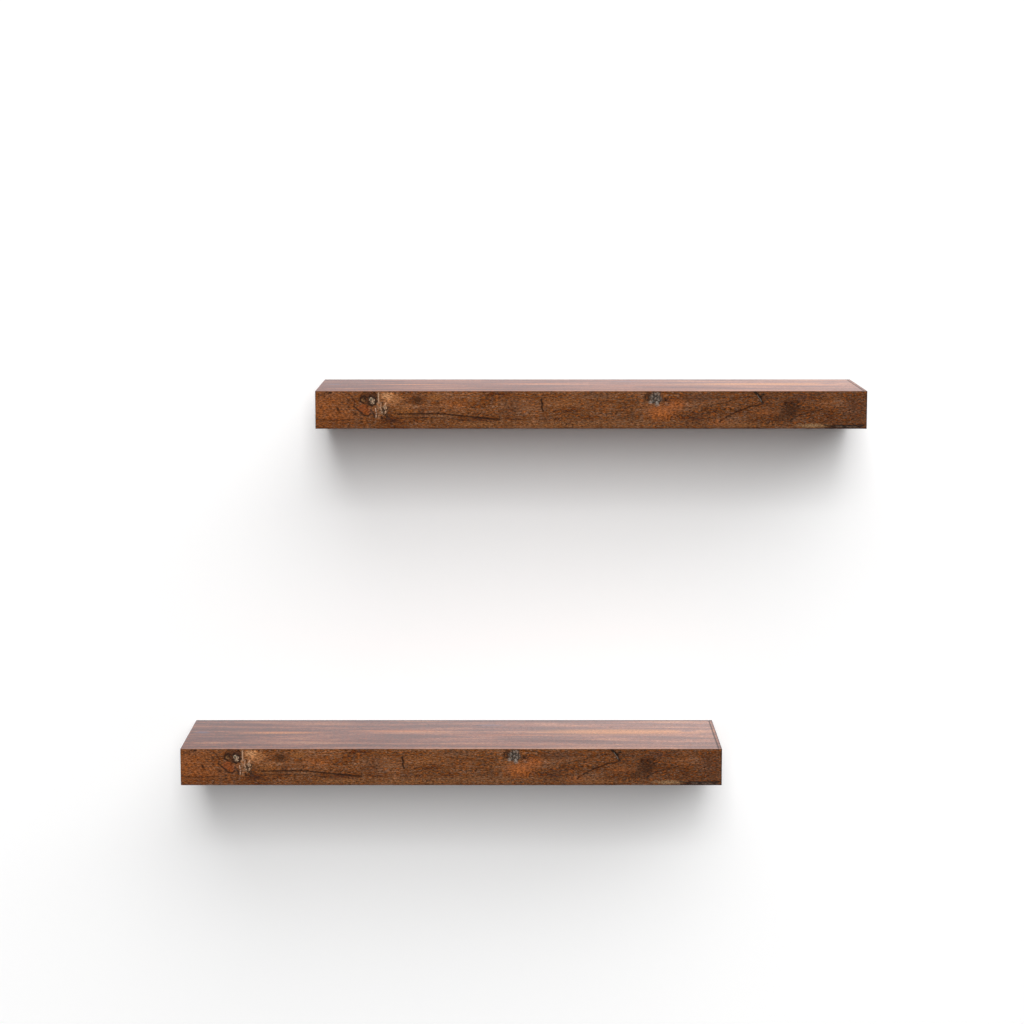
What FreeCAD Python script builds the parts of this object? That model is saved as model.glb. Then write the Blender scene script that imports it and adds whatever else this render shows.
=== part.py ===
"""A pair of floating wall shelves: two foil-wrapped hollow boxes, each slid onto a hidden steel bracket.

Frame: +X to the right along the wall, +Y into the wall, +Z up, millimetres. The wall's surface is the plane
y = 0. The origin is the mouth of the lower bracket's middle wall anchor, at mid-thickness of the lower shelf.
Every sub-part is drawn in its own shelf's frame, and its Placement carries it to the lower or upper shelf.
"""

import FreeCAD, Part
import os
import re

import Sketcher

DOCUMENT = FreeCAD.newDocument("FloatingShelves")
SHEET = DOCUMENT.addObject("Spreadsheet::Sheet", "Sizes")

# Driving dimensions, in millimetres.
SIZES = {
    # the box that shows
    "shelf_width": 610,
    "shelf_depth": 150,
    "shelf_height": 42,
    "skin": 4,
    # where the upper shelf hangs, seen from the lower one
    "upper_shift": 156,
    "upper_rise": 404,
    # the frame inside the box
    "rail_width": 18,
    "stile_width": 18,
    "guide_width": 60,
    # the honeycomb core
    "cell_flats": 44,
    "cell_wall": 0.8,
    # the bracket's steel strip
    "plate_thick": 3,
    "plate_end": 26.8,
    "plate_side_gap": 2,
    "plate_rear_gap": 0.5,
    "plate_corner": 4,
    # the rods that carry the box
    "rod_diameter": 12,
    "rod_inset": 50,
    "rod_front_gap": 13,
    "rod_tip_bevel": 1,
    "rod_clearance": 0.3,
    "bore_end_gap": 4,
    "weld_leg": 2.5,
    "weld_clearance": 0.5,
    # the wall screws and their anchors
    "screw_count": 3,
    "screw_span": 406.4,
    "screw_diameter": 5,
    "screw_length": 45,
    "screw_point": 3,
    "head_land": 0.9,
    "shank_clearance": 0.25,
    "head_clearance": 0.1,
    "anchor_diameter": 8,
    "anchor_length": 40,
    "anchor_nose": 5,
    "anchor_slot_width": 1.2,
    "anchor_slot_start": 20,
    "thread_clearance": 0.05,
    # the locking screw under the box, and the insert it turns in
    "lock_diameter": 5,
    "lock_inset": 10,
    "lock_gap": 0.3,
    "lock_recess": 0.7,
    "lock_key": 2.5,
    "lock_key_depth": 3,
    "access_clearance": 0.5,
    "insert_diameter": 8,
    "insert_length": 8,
}

# Dimensions that follow from the driving ones. Each formula may use the lines above it.
WORKED_OUT = {
    "half_width": "shelf_width / 2",
    "half_height": "shelf_height / 2",
    "half_cavity": "half_height - skin",
    "cavity_depth": "shelf_depth - skin",
    "cavity_half_width": "half_width - skin",
    "frame_rear": "plate_thick + plate_rear_gap",
    "rail_front": "frame_rear + rail_width",
    "bay_front": "cavity_depth - rail_width",
    "rail_half_length": "cavity_half_width - stile_width",
    "screw_pitch": "screw_span / (screw_count - 1)",
    "first_screw": "-screw_span / 2",
    "plate_half_length": "screw_span / 2 + plate_end",
    "plate_half_height": "half_cavity - plate_side_gap",
    "rod_radius": "rod_diameter / 2",
    "rod_place": "screw_span / 2 - rod_inset",
    "rod_tip": "bay_front - rod_front_gap",
    "bore_radius": "rod_radius + rod_clearance",
    "guide_near": "rod_place - guide_width / 2",
    "guide_far": "rod_place + guide_width / 2",
    "screw_radius": "screw_diameter / 2",
    "head_radius": "screw_radius + plate_thick - head_land",
    "anchor_radius": "anchor_diameter / 2",
    "anchor_bore": "screw_radius + thread_clearance",
    "lock_radius": "lock_diameter / 2",
    "lock_place": "rail_front + lock_inset",
    "lock_foot": "half_cavity - lock_recess",
    "lock_tip": "rod_radius + lock_gap",
    "insert_radius": "insert_diameter / 2",
    "cell_pitch": "cell_flats + cell_wall",
    "cell_corner": "cell_flats / sqrt(3)",
    "cell_row": "cell_pitch * sqrt(3) / 2",
    "cell_columns": "ceil(2 * rail_half_length / cell_pitch) + 1",
    "cell_row_pairs": "ceil((bay_front - rail_front) / cell_row / 2 + 1 / 6)",
    "first_column": "-cell_pitch * (cell_columns - 1) / 2",
    "first_row": "-(bay_front + rail_front) / 2 - cell_row * (2 * cell_row_pairs - 1) / 2",
}

# Each shelf's name, and how far its frame stands from the lower shelf's, along X and Z.
SHELVES = {"lower": ("0", "0"), "upper": ("upper_shift", "upper_rise")}


def fill_sheet():
    """Write the sizes into the spreadsheet: a name in column A, and the aliased value in column B."""
    rows = [(name, str(value)) for name, value in SIZES.items()]
    for name, formula in WORKED_OUT.items():
        rows.append((name, "=" + formula))
    for row, (name, content) in enumerate(rows, start=1):
        SHEET.set(f"A{row}", name)
        SHEET.setAlias(f"B{row}", name)
        SHEET.set(f"B{row}", content)
    DOCUMENT.recompute()


def expression(formula):
    """The formula with each size's name pointed at the spreadsheet."""

    def pointed(word):
        name = word.group()
        return f"Sizes.{name}" if name in SIZES or name in WORKED_OUT else name

    return re.sub(r"[a-z][a-z_]*", pointed, formula)


def measure(formula):
    """The formula's present value, in millimetres."""
    return float(SHEET.evalExpression(expression(formula)))


def bind(thing, setting, formula):
    """Tie one setting of an object to the sizes."""
    thing.setExpression(setting, expression(formula))


def place(thing, shelf, corner=("0", "0", "0")):
    """Put a sub-part at a corner given in its shelf's frame."""
    shift, rise = SHELVES[shelf]
    bind(thing, "Placement.Base.x", f"{corner[0]} + {shift}")
    bind(thing, "Placement.Base.y", corner[1])
    bind(thing, "Placement.Base.z", f"{corner[2]} + {rise}")


def new_body(shelf, name):
    """An empty body, labelled as its node and standing in its shelf's frame."""
    body = DOCUMENT.addObject("PartDesign::Body", f"{shelf}_{name}")
    body.Label = f"{shelf}_{name}"
    place(body, shelf)
    return body


def origin_feature(body, role):
    """The body's own origin plane or axis of that role."""
    return next(feature for feature in body.Origin.OriginFeatures if feature.Role == role)


def fix_point(sketch, line, corner):
    """Tie the start of a line, or the centre of a circle, to a corner of two formulas."""
    point = 3 if isinstance(sketch.Geometry[line], Part.Circle) else 1
    for direction, formula in zip(("DistanceX", "DistanceY"), corner):
        limit = sketch.addConstraint(Sketcher.Constraint(direction, -1, 1, line, point, measure(formula)))
        bind(sketch, f"Constraints[{limit}]", formula)


def draw_outline(sketch, corners):
    """Add a closed outline of straight lines whose corners are pairs of formulas."""
    points = [FreeCAD.Vector(measure(across), measure(along), 0) for across, along in corners]
    first = len(sketch.Geometry)
    count = len(points)
    for step in range(count):
        sketch.addGeometry(Part.LineSegment(points[step], points[(step + 1) % count]))
    for step in range(count):
        following = first + (step + 1) % count
        sketch.addConstraint(Sketcher.Constraint("Coincident", first + step, 2, following, 1))
        fix_point(sketch, first + step, corners[step])


def draw_circle(sketch, centre, radius):
    """Add a circle whose centre is a pair of formulas, and whose radius is a formula."""
    middle = FreeCAD.Vector(measure(centre[0]), measure(centre[1]), 0)
    line = len(sketch.Geometry)
    sketch.addGeometry(Part.Circle(middle, FreeCAD.Vector(0, 0, 1), measure(radius)))
    fix_point(sketch, line, centre)
    limit = sketch.addConstraint(Sketcher.Constraint("Radius", line, measure(radius)))
    bind(sketch, f"Constraints[{limit}]", radius)


def new_sketch(body, name, plane, outlines=(), circles=(), offset="0", shift="0"):
    """A sketch on an origin plane, moved along the plane's normal by offset and along its first axis by shift.

    XY sketches read (x, y) and face +Z, XZ sketches read (x, z) and face -Y, YZ sketches read (y, z) and face +X.
    """
    sketch = body.newObject("Sketcher::SketchObject", name)
    sketch.AttachmentSupport = [(origin_feature(body, plane + "_Plane"), "")]
    sketch.MapMode = "FlatFace"
    bind(sketch, "AttachmentOffset.Base.z", offset)
    bind(sketch, "AttachmentOffset.Base.x", shift)
    for corners in outlines:
        draw_outline(sketch, corners)
    for centre, radius in circles:
        draw_circle(sketch, centre, radius)
    DOCUMENT.recompute()
    return sketch


def rectangle(left, bottom, right, top):
    """The corners of an upright rectangle."""
    return [(left, bottom), (right, bottom), (right, top), (left, top)]


def pad(body, sketch, length, both_ways=False):
    """Raise a sketch to a solid, the way the sketch faces, or half the length each way."""
    feature = body.newObject("PartDesign::Pad", "Pad")
    feature.Profile = sketch
    feature.SideType = "Symmetric" if both_ways else "One side"
    bind(feature, "Length", length)
    DOCUMENT.recompute()
    return feature


def pocket(body, sketch, depth=None, both_ways=False):
    """Cut a sketch into the solid the way the sketch faces, by a depth, or right through without one."""
    feature = body.newObject("PartDesign::Pocket", "Pocket")
    feature.Profile = sketch
    feature.SideType = "Symmetric" if both_ways else "One side"
    feature.Reversed = not both_ways
    if depth is None:
        feature.Type = "ThroughAll"
    else:
        bind(feature, "Length", depth)
    DOCUMENT.recompute()
    return feature


def countersunk_holes(body, sketch, diameter, mouth, along_sketch):
    """Drill the sketch's circles right through, with a 90 degree countersink at the sketch."""
    feature = body.newObject("PartDesign::Hole", "Hole")
    feature.Profile = sketch
    DOCUMENT.recompute()
    feature.DepthType = "ThroughAll"
    feature.HoleCutType = "Countersink"
    feature.HoleCutCustomValues = True
    feature.HoleCutCountersinkAngle = 90
    feature.Reversed = along_sketch
    bind(feature, "Diameter", diameter)
    bind(feature, "HoleCutDiameter", mouth)
    DOCUMENT.recompute()
    return feature


def revolve(body, sketch):
    """Turn a sketch round its own vertical axis."""
    feature = body.newObject("PartDesign::Revolution", "Revolution")
    feature.Profile = sketch
    feature.ReferenceAxis = (sketch, ["V_Axis"])
    feature.Angle = 360
    DOCUMENT.recompute()
    return feature


def repeat(body, features, count, spacing, rows=None, row_spacing=None):
    """Repeat features along X, and where rows are given along Y too."""
    pattern = body.newObject("PartDesign::LinearPattern", "LinearPattern")
    pattern.Originals = features
    pattern.Direction = (origin_feature(body, "X_Axis"), [""])
    bind(pattern, "Length", f"{spacing} * ({count} - 1)")
    bind(pattern, "Occurrences", count)
    if rows:
        pattern.Direction2 = (origin_feature(body, "Y_Axis"), [""])
        bind(pattern, "Length2", f"{row_spacing} * ({rows} - 1)")
        bind(pattern, "Occurrences2", rows)
    body.Tip = pattern
    DOCUMENT.recompute()
    return pattern


def block(shelf, name, low, high):
    """A plain square-cut board between two corners of formulas."""
    board = DOCUMENT.addObject("Part::Box", f"{shelf}_{name}")
    board.Label = f"{shelf}_{name}"
    for side, bottom, top in zip(("Length", "Width", "Height"), low, high):
        bind(board, side, f"({top}) - ({bottom})")
    place(board, shelf, low)
    return board


def cover_panel(shelf, name, outer, inner):
    """The top or bottom leaf: mitred at the front and left, and square at the right where the cap covers it.

    outer and inner are the heights of its two faces.
    """
    body = new_body(shelf, name)
    section = [("-shelf_depth", outer), ("0", outer), ("0", inner), ("-cavity_depth", inner)]
    profile = new_sketch(body, "Section", "YZ", [section], offset="-half_width")
    pad(body, profile, "shelf_width - skin")
    left_mitre = [("-half_width", outer), ("-cavity_half_width", inner), ("-half_width", inner)]
    pocket(body, new_sketch(body, "LeftMitre", "XZ", [left_mitre]))
    return body


def top_panel(shelf):
    """The leaf that things stand on."""
    return cover_panel(shelf, "top_panel", "half_height", "half_cavity")


def bottom_panel(shelf):
    """The underside, with a hole below the locking screw for its key."""
    body = cover_panel(shelf, "bottom_panel", "-half_height", "-half_cavity")
    hole = lock_circle("lock_radius + access_clearance")
    pocket(body, new_sketch(body, "KeyHole", "XY", circles=[hole], offset="-half_height"), "skin")
    return body


def front_panel(shelf):
    """The front edge that shows: mitred at the top, bottom and left, and square at the right."""
    body = new_body(shelf, "front_panel")
    section = [
        ("-shelf_depth", "-half_height"),
        ("-shelf_depth", "half_height"),
        ("-cavity_depth", "half_cavity"),
        ("-cavity_depth", "-half_cavity"),
    ]
    pad(body, new_sketch(body, "Section", "YZ", [section], offset="-half_width"), "shelf_width")
    left_mitre = [
        ("-half_width", "-shelf_depth"),
        ("-cavity_half_width", "-cavity_depth"),
        ("-half_width", "-cavity_depth"),
    ]
    pocket(body, new_sketch(body, "LeftMitre", "XY", [left_mitre], offset="-half_height"))
    return body


def left_end_panel(shelf):
    """The folded left end: mitred at the front, top and bottom."""
    body = new_body(shelf, "left_end_panel")
    section = [
        ("-half_width", "-shelf_depth"),
        ("-cavity_half_width", "-cavity_depth"),
        ("-cavity_half_width", "0"),
        ("-half_width", "0"),
    ]
    pad(body, new_sketch(body, "Section", "XY", [section]), "shelf_height", both_ways=True)
    mitres = []
    for side in ("", "-"):
        outer_edge = ("-half_width", f"{side}half_height")
        over_inner_edge = ("-cavity_half_width", f"{side}half_height")
        inner_edge = ("-cavity_half_width", f"{side}half_cavity")
        mitres.append([outer_edge, over_inner_edge, inner_edge])
    pocket(body, new_sketch(body, "Mitres", "XZ", mitres))
    return body


def right_end_cap(shelf):
    """The glued-on right end: its edges show, and its two noses close the front panel's mitres."""
    body = new_body(shelf, "right_end_cap")
    outline = [
        ("0", "-half_height"),
        ("0", "half_height"),
        ("-shelf_depth", "half_height"),
        ("-cavity_depth", "half_cavity"),
        ("-cavity_depth", "-half_cavity"),
        ("-shelf_depth", "-half_height"),
    ]
    pad(body, new_sketch(body, "Outline", "YZ", [outline], offset="cavity_half_width"), "skin")
    return body


def front_rail(shelf):
    """The board behind the front panel, between the stiles."""
    low = ("-rail_half_length", "-cavity_depth", "-half_cavity")
    high = ("rail_half_length", "-bay_front", "half_cavity")
    return block(shelf, "front_rail", low, high)


def left_stile(shelf):
    """The board inside the left end."""
    low = ("-cavity_half_width", "-cavity_depth", "-half_cavity")
    high = ("-rail_half_length", "-frame_rear", "half_cavity")
    return block(shelf, "left_stile", low, high)


def right_stile(shelf):
    """The board inside the right end."""
    low = ("rail_half_length", "-cavity_depth", "-half_cavity")
    high = ("cavity_half_width", "-frame_rear", "half_cavity")
    return block(shelf, "right_stile", low, high)


def rod_circles(radius):
    """A circle round each rod, for XZ sketches."""
    return [((side + "rod_place", "0"), radius) for side in ("-", "")]


def lock_circle(radius):
    """A circle round the locking screw, below the right-hand rod, for XY sketches."""
    return ("rod_place", "-lock_place"), radius


def rear_rail(shelf):
    """The board in front of the bracket's strip: a bore for each rod, countersunk to clear its weld."""
    body = new_body(shelf, "rear_rail")
    outline = rectangle("-rail_half_length", "-half_cavity", "rail_half_length", "half_cavity")
    pad(body, new_sketch(body, "Outline", "XZ", [outline], offset="frame_rear"), "rail_width")
    bores = new_sketch(body, "Bores", "XZ", circles=rod_circles("bore_radius"), offset="frame_rear")
    weld_mouth = "2 * (rod_radius + weld_leg - plate_rear_gap + weld_clearance)"
    countersunk_holes(body, bores, "2 * bore_radius", weld_mouth, along_sketch=True)
    return body


def guide_blocks(shelf):
    """The two blocks that ride on the rods, from rail to rail. The right-hand one seats the locking screw."""
    body = new_body(shelf, "guide_blocks")
    outlines = [
        rectangle("-guide_far", "-half_cavity", "-guide_near", "half_cavity"),
        rectangle("guide_near", "-half_cavity", "guide_far", "half_cavity"),
    ]
    pad(body, new_sketch(body, "Outlines", "XZ", outlines, offset="rail_front"), "bay_front - rail_front")
    bores = new_sketch(body, "Bores", "XZ", circles=rod_circles("bore_radius"), offset="rail_front")
    pocket(body, bores, "rod_tip + bore_end_gap - rail_front")
    insert_hole = lock_circle("insert_radius + thread_clearance")
    seat = new_sketch(body, "InsertSeat", "XY", circles=[insert_hole], offset="-half_cavity")
    pocket(body, seat, "half_cavity")
    return body


def honeycomb_core(shelf):
    """The kraft honeycomb that holds the leaves apart, cut to the three bays of the frame.

    Two staggered grids of six-sided cells, each grid one pocket repeated both ways, leave the paper walls.
    """
    body = new_body(shelf, "honeycomb_core")
    bays = [
        rectangle("-rail_half_length", "-bay_front", "-guide_far", "-rail_front"),
        rectangle("-guide_near", "-bay_front", "guide_near", "-rail_front"),
        rectangle("guide_far", "-bay_front", "rail_half_length", "-rail_front"),
    ]
    pad(body, new_sketch(body, "Bays", "XY", bays), "2 * half_cavity", both_ways=True)
    starts = {
        "FirstCell": ("first_column", "first_row"),
        "SecondCell": ("first_column - cell_pitch / 2", "first_row + cell_row"),
    }
    for name, (middle, along) in starts.items():
        cell = [
            (middle, f"{along} - cell_corner"),
            (f"{middle} + cell_flats / 2", f"{along} - cell_corner / 2"),
            (f"{middle} + cell_flats / 2", f"{along} + cell_corner / 2"),
            (middle, f"{along} + cell_corner"),
            (f"{middle} - cell_flats / 2", f"{along} + cell_corner / 2"),
            (f"{middle} - cell_flats / 2", f"{along} - cell_corner / 2"),
        ]
        opening = pocket(body, new_sketch(body, name, "XY", [cell], offset="-half_cavity"))
        repeat(body, [opening], "cell_columns + 1", "cell_pitch", "cell_row_pairs", "2 * cell_row")
    return body


def threaded_insert(shelf):
    """The brass sleeve pressed into the right-hand guide block from below."""
    body = new_body(shelf, "threaded_insert")
    wall = [lock_circle("insert_radius"), lock_circle("lock_radius + thread_clearance")]
    pad(body, new_sketch(body, "Wall", "XY", circles=wall, offset="-half_cavity"), "insert_length")
    return body


def locking_screw(shelf):
    """The headless screw that grips the right-hand rod from below, with a hexagon socket in its foot."""
    body = new_body(shelf, "locking_screw")
    shank = new_sketch(body, "Shank", "XY", circles=[lock_circle("lock_radius")], offset="-lock_foot")
    pad(body, shank, "lock_foot - lock_tip")
    hexagon = []
    for step in range(6):
        turn = f"{60 * step} deg"
        across = f"rod_place + lock_key / sqrt(3) * cos({turn})"
        along = f"lock_key / sqrt(3) * sin({turn}) - lock_place"
        hexagon.append((across, along))
    pocket(body, new_sketch(body, "Socket", "XY", [hexagon], offset="-lock_foot"), "lock_key_depth")
    return body


def screw_circles(radius):
    """A circle round each wall screw, for XZ sketches."""
    count = int(measure("screw_count"))
    return [((f"first_screw + {step} * screw_pitch", "0"), radius) for step in range(count)]


def wall_plate(shelf):
    """The steel strip screwed to the wall, with rounded corners and countersunk holes."""
    body = new_body(shelf, "wall_plate")
    outline = rectangle("-plate_half_length", "-plate_half_height", "plate_half_length", "plate_half_height")
    strip = pad(body, new_sketch(body, "Outline", "XZ", [outline]), "plate_thick")
    corners = []
    for number, edge in enumerate(strip.Shape.Edges, start=1):
        run = edge.BoundBox
        if run.YLength > run.XLength + run.ZLength:
            corners.append(f"Edge{number}")
    rounding = body.newObject("PartDesign::Fillet", "Fillet")
    rounding.Base = (strip, corners)
    bind(rounding, "Radius", "plate_corner")
    DOCUMENT.recompute()
    holes = new_sketch(body, "Holes", "XZ", circles=screw_circles("screw_radius"), offset="plate_thick")
    hole_diameter = "screw_diameter + 2 * shank_clearance"
    mouth = "2 * (head_radius + head_clearance)"
    countersunk_holes(body, holes, hole_diameter, mouth, along_sketch=False)
    return body


def support_rods(shelf):
    """The two rods welded to the strip, with a fillet weld at the root and a bevelled tip."""
    body = new_body(shelf, "support_rods")
    half_profile = [
        ("0", "-plate_thick"),
        ("rod_radius + weld_leg", "-plate_thick"),
        ("rod_radius", "-plate_thick - weld_leg"),
        ("rod_radius", "-rod_tip + rod_tip_bevel"),
        ("rod_radius - rod_tip_bevel", "-rod_tip"),
        ("0", "-rod_tip"),
    ]
    profile = new_sketch(body, "HalfProfile", "XY", [half_profile], shift="-rod_place")
    repeat(body, [revolve(body, profile)], "2", "2 * rod_place")
    return body


def wall_screws(shelf):
    """The countersunk screws, heads flush with the strip and points past the anchors."""
    body = new_body(shelf, "wall_screws")
    half_profile = [
        ("0", "-plate_thick"),
        ("head_radius", "-plate_thick"),
        ("screw_radius", "head_radius - screw_radius - plate_thick"),
        ("screw_radius", "screw_length - plate_thick - screw_point"),
        ("0", "screw_length - plate_thick"),
    ]
    profile = new_sketch(body, "HalfProfile", "XY", [half_profile], shift="first_screw")
    repeat(body, [revolve(body, profile)], "screw_count", "screw_pitch")
    return body


def wall_anchors(shelf):
    """The nylon plugs in the wall, each with a tapered nose and a slot to spread in."""
    body = new_body(shelf, "wall_anchors")
    half_profile = [
        ("anchor_bore", "0"),
        ("anchor_radius", "0"),
        ("anchor_radius", "anchor_length - anchor_nose"),
        ("anchor_bore", "anchor_length"),
    ]
    profile = new_sketch(body, "HalfProfile", "XY", [half_profile], shift="first_screw")
    repeat(body, [revolve(body, profile)], "screw_count", "screw_pitch")
    slots = []
    for (centre, _), radius in screw_circles("anchor_radius"):
        left = f"{centre} - {radius}"
        right = f"{centre} + {radius}"
        slots.append(rectangle(left, "anchor_slot_start", right, "anchor_length"))
    pocket(body, new_sketch(body, "Slots", "XY", slots), "anchor_slot_width", both_ways=True)
    return body


SUB_PARTS = (
    top_panel,
    bottom_panel,
    front_panel,
    left_end_panel,
    right_end_cap,
    front_rail,
    left_stile,
    right_stile,
    rear_rail,
    guide_blocks,
    honeycomb_core,
    threaded_insert,
    locking_screw,
    wall_plate,
    support_rods,
    wall_screws,
    wall_anchors,
)


def check(nodes):
    """Stop if an object failed to compute, a cut took nothing, or a node's shape is missing or invalid."""
    for thing in DOCUMENT.Objects:
        if "Invalid" in thing.State or "Error" in thing.State:
            raise ValueError(f"{thing.Label} did not compute")
        if thing.TypeId in ("PartDesign::Pocket", "PartDesign::Hole"):
            patterns = [user for user in thing.InList if user.TypeId == "PartDesign::LinearPattern"]
            last = patterns[0] if patterns else thing
            if last.Shape.Volume >= thing.BaseFeature.Shape.Volume:
                raise ValueError(f"{thing.Label} cuts nothing")
    for node in nodes:
        if node.Shape.isNull() or not node.Shape.isValid():
            raise ValueError(f"{node.Label} has no valid shape")


def main():
    fill_sheet()
    nodes = [make(shelf) for shelf in SHELVES for make in SUB_PARTS]
    DOCUMENT.recompute()
    check(nodes)
    os.makedirs("parts", exist_ok=True)
    for node in nodes:
        node.Shape.exportStep(f"parts/{node.Label}.step")
        print(f"{node.Label}: {len(node.Shape.Solids)} solids, {node.Shape.Volume:.1f} mm3")


main()
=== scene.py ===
# %% [markdown]
# # A pair of floating wall shelves
# Two hollow boxes wrapped in printed wood foil hang on a white wall. Each slides over two steel rods that are
# welded to a strip screwed to the wall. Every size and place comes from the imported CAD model, so this lesson
# adds what a CAD model can't hold: the printed foil, the bare board, the steel, the threads and the light.

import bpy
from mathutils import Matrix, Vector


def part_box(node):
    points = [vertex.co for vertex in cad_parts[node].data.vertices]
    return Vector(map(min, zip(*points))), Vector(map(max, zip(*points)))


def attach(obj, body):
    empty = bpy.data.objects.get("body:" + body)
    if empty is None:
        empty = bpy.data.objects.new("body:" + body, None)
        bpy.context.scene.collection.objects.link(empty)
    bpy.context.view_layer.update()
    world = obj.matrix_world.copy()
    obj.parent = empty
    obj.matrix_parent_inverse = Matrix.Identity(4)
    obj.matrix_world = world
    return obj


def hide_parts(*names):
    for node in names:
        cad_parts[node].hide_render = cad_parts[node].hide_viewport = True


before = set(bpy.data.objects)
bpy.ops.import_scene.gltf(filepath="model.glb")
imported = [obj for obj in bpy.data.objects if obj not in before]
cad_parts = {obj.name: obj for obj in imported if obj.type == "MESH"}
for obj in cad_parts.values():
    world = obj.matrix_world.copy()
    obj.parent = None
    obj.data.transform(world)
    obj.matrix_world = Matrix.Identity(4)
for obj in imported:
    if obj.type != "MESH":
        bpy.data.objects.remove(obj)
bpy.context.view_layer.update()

# %% Tools from Blender and Python
import math

import bmesh
import bpy
from mathutils import Matrix, Vector

SHELVES = ("lower", "upper")
MM = 0.001

# %% [markdown]
# ## Small helpers
# Colours are picked as a printer writes them, in sRGB hex, and one function turns them to the linear values
# that light adds up in. A second function adds any shader or geometry node with its settings and its links, so
# that a material or a tree reads as a short list of steps.

# %% Objects
def new_object(name, data):
    """An object with this data, linked to the scene."""
    made = bpy.data.objects.new(name, data)
    bpy.context.scene.collection.objects.link(made)
    return made


# %% Colours
def colour(hex_code):
    """An sRGB hex code as linear RGBA."""
    parts = [int(hex_code[start:start + 2], 16) / 255 for start in (0, 2, 4)]
    linear = [part / 12.92 if part <= 0.04045 else ((part + 0.055) / 1.055) ** 2.4 for part in parts]
    return (*linear, 1.0)


print("mid brown in linear light:", [round(part, 3) for part in colour("6b422b")])


# %% Nodes
def add(tree, kind, *inputs, **named):
    """Add a node and return it.

    Plain inputs go to its sockets in order, and None leaves one alone. A named one goes to the socket of that
    name, written with _ for a space, when it starts with a capital, and otherwise it is a setting of the node.
    A node given as an input stands for its first output.
    """
    prefixed = kind.startswith(("Geometry", "Function", "Shader"))
    node = tree.nodes.new(kind if prefixed else "ShaderNode" + kind)
    for name, value in named.items():
        if not name[0].isupper():
            setattr(node, name, value)
    sockets = list(zip(node.inputs, inputs))
    sockets += [(node.inputs[name.replace("_", " ")], named[name]) for name in named if name[0].isupper()]
    for socket, value in sockets:
        if isinstance(value, bpy.types.Node):
            value = value.outputs[0]
        if isinstance(value, bpy.types.NodeSocket):
            tree.links.new(value, socket)
        elif value is not None:
            socket.default_value = value
    return node


def new_group(kind, name, inputs, outputs):
    """A node group with these sockets: returns it, its inputs to read from and its outputs to link to."""
    group = bpy.data.node_groups.new(name, kind)
    for way, sockets in (("INPUT", inputs), ("OUTPUT", outputs)):
        for label, what in sockets.items():
            group.interface.new_socket(label, in_out=way, socket_type="NodeSocket" + what)
    return group, group.nodes.new("NodeGroupInput").outputs, group.nodes.new("NodeGroupOutput").inputs


def product(tree, *values):
    """The product of these values."""
    total = values[0]
    for value in values[1:]:
        total = add(tree, "Math", total, value, operation="MULTIPLY")
    return total


def summed(tree, *weighted):
    """The sum of (value, weight) pairs."""
    total = 0.0
    for value, weight in weighted:
        total = add(tree, "Math", value, weight, total, operation="MULTIPLY_ADD")
    return total


# %% Materials
def emptied(owner):
    """The node tree of a material or a world, with nothing in it."""
    owner.use_nodes = True
    owner.node_tree.nodes.clear()
    return owner.node_tree


def new_material(name, **shader_inputs):
    """An empty material with its shader: returns the material, its tree and the shader node."""
    material = bpy.data.materials.new(name)
    tree = emptied(material)
    shader = add(tree, "BsdfPrincipled", **shader_inputs)
    add(tree, "OutputMaterial", shader)
    return material, tree, shader


def surface(tree, shader, shade, relief, strength, depth, gloss=None, sunk=False):
    """Give a shader its colour, its relief (its height, how strong, how many metres deep) and its roughness.

    Gloss is (noise, run, low, high): the roughness goes from low to high as the noise does so by run round 0.5.
    """
    bump = add(tree, "Bump", Strength=strength, Distance=depth, Height=relief, invert=sunk)
    tree.links.new(shade.outputs[0], shader.inputs["Base Color"])
    tree.links.new(bump.outputs[0], shader.inputs["Normal"])
    if gloss:
        noise, run, low, high = gloss
        rough = add(tree, "MapRange", noise, From_Min=0.5 - run, From_Max=0.5 + run, To_Min=low, To_Max=high)
        tree.links.new(rough.outputs[0], shader.inputs["Roughness"])


def ramp(tree, value, stops):
    """A colour ramp from (position, hex colour) stops."""
    node = add(tree, "ValToRGB", value)
    band = node.color_ramp
    while len(band.elements) < len(stops):
        band.elements.new(1.0)
    for element, (position, hex_code) in zip(band.elements, stops):
        element.position = position
        element.color = colour(hex_code)
    return node


# %% [markdown]
# ## The camera and the stage
# The shelves are seen from the front and a little above. A white wall stands half a millimetre behind them.
# It shows only from its front, so a view from behind still shows the brackets and what goes into the wall. It
# could be lit until it burns out, but that would bleach the shelves too, so the lamps only just fill it.

# %% Camera
CAMERA_PLACE = (0.0685, -3.0, 0.682)
CAMERA_PITCH = math.radians(7.83)
CAMERA_LENS = 91.0

camera_data = bpy.data.cameras.new("camera")
camera_data.lens = CAMERA_LENS
camera = new_object("camera", camera_data)
camera.location = CAMERA_PLACE
camera.rotation_euler = (math.radians(90) - CAMERA_PITCH, 0, 0)
bpy.context.scene.camera = camera
bpy.context.scene.view_settings.view_transform = "Standard"
print("camera at", CAMERA_PLACE, "with a", CAMERA_LENS, "mm lens")

# %% Wall and floor
WALL_GAP = 0.5 * MM
WALL_HALF_WIDTH = 3.0
WALL_TOP = 2.4
FLOOR_HEIGHT = -1.2
FLOOR_REACH = 4.0


def stage_plane(name, corners, material):
    """A flat stage piece from its corners, anticlockwise as seen from its front."""
    mesh = bpy.data.meshes.new(name)
    mesh.from_pydata(corners, [], [tuple(range(len(corners)))])
    mesh.materials.append(material)
    plane = new_object(name, mesh)
    return plane


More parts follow.
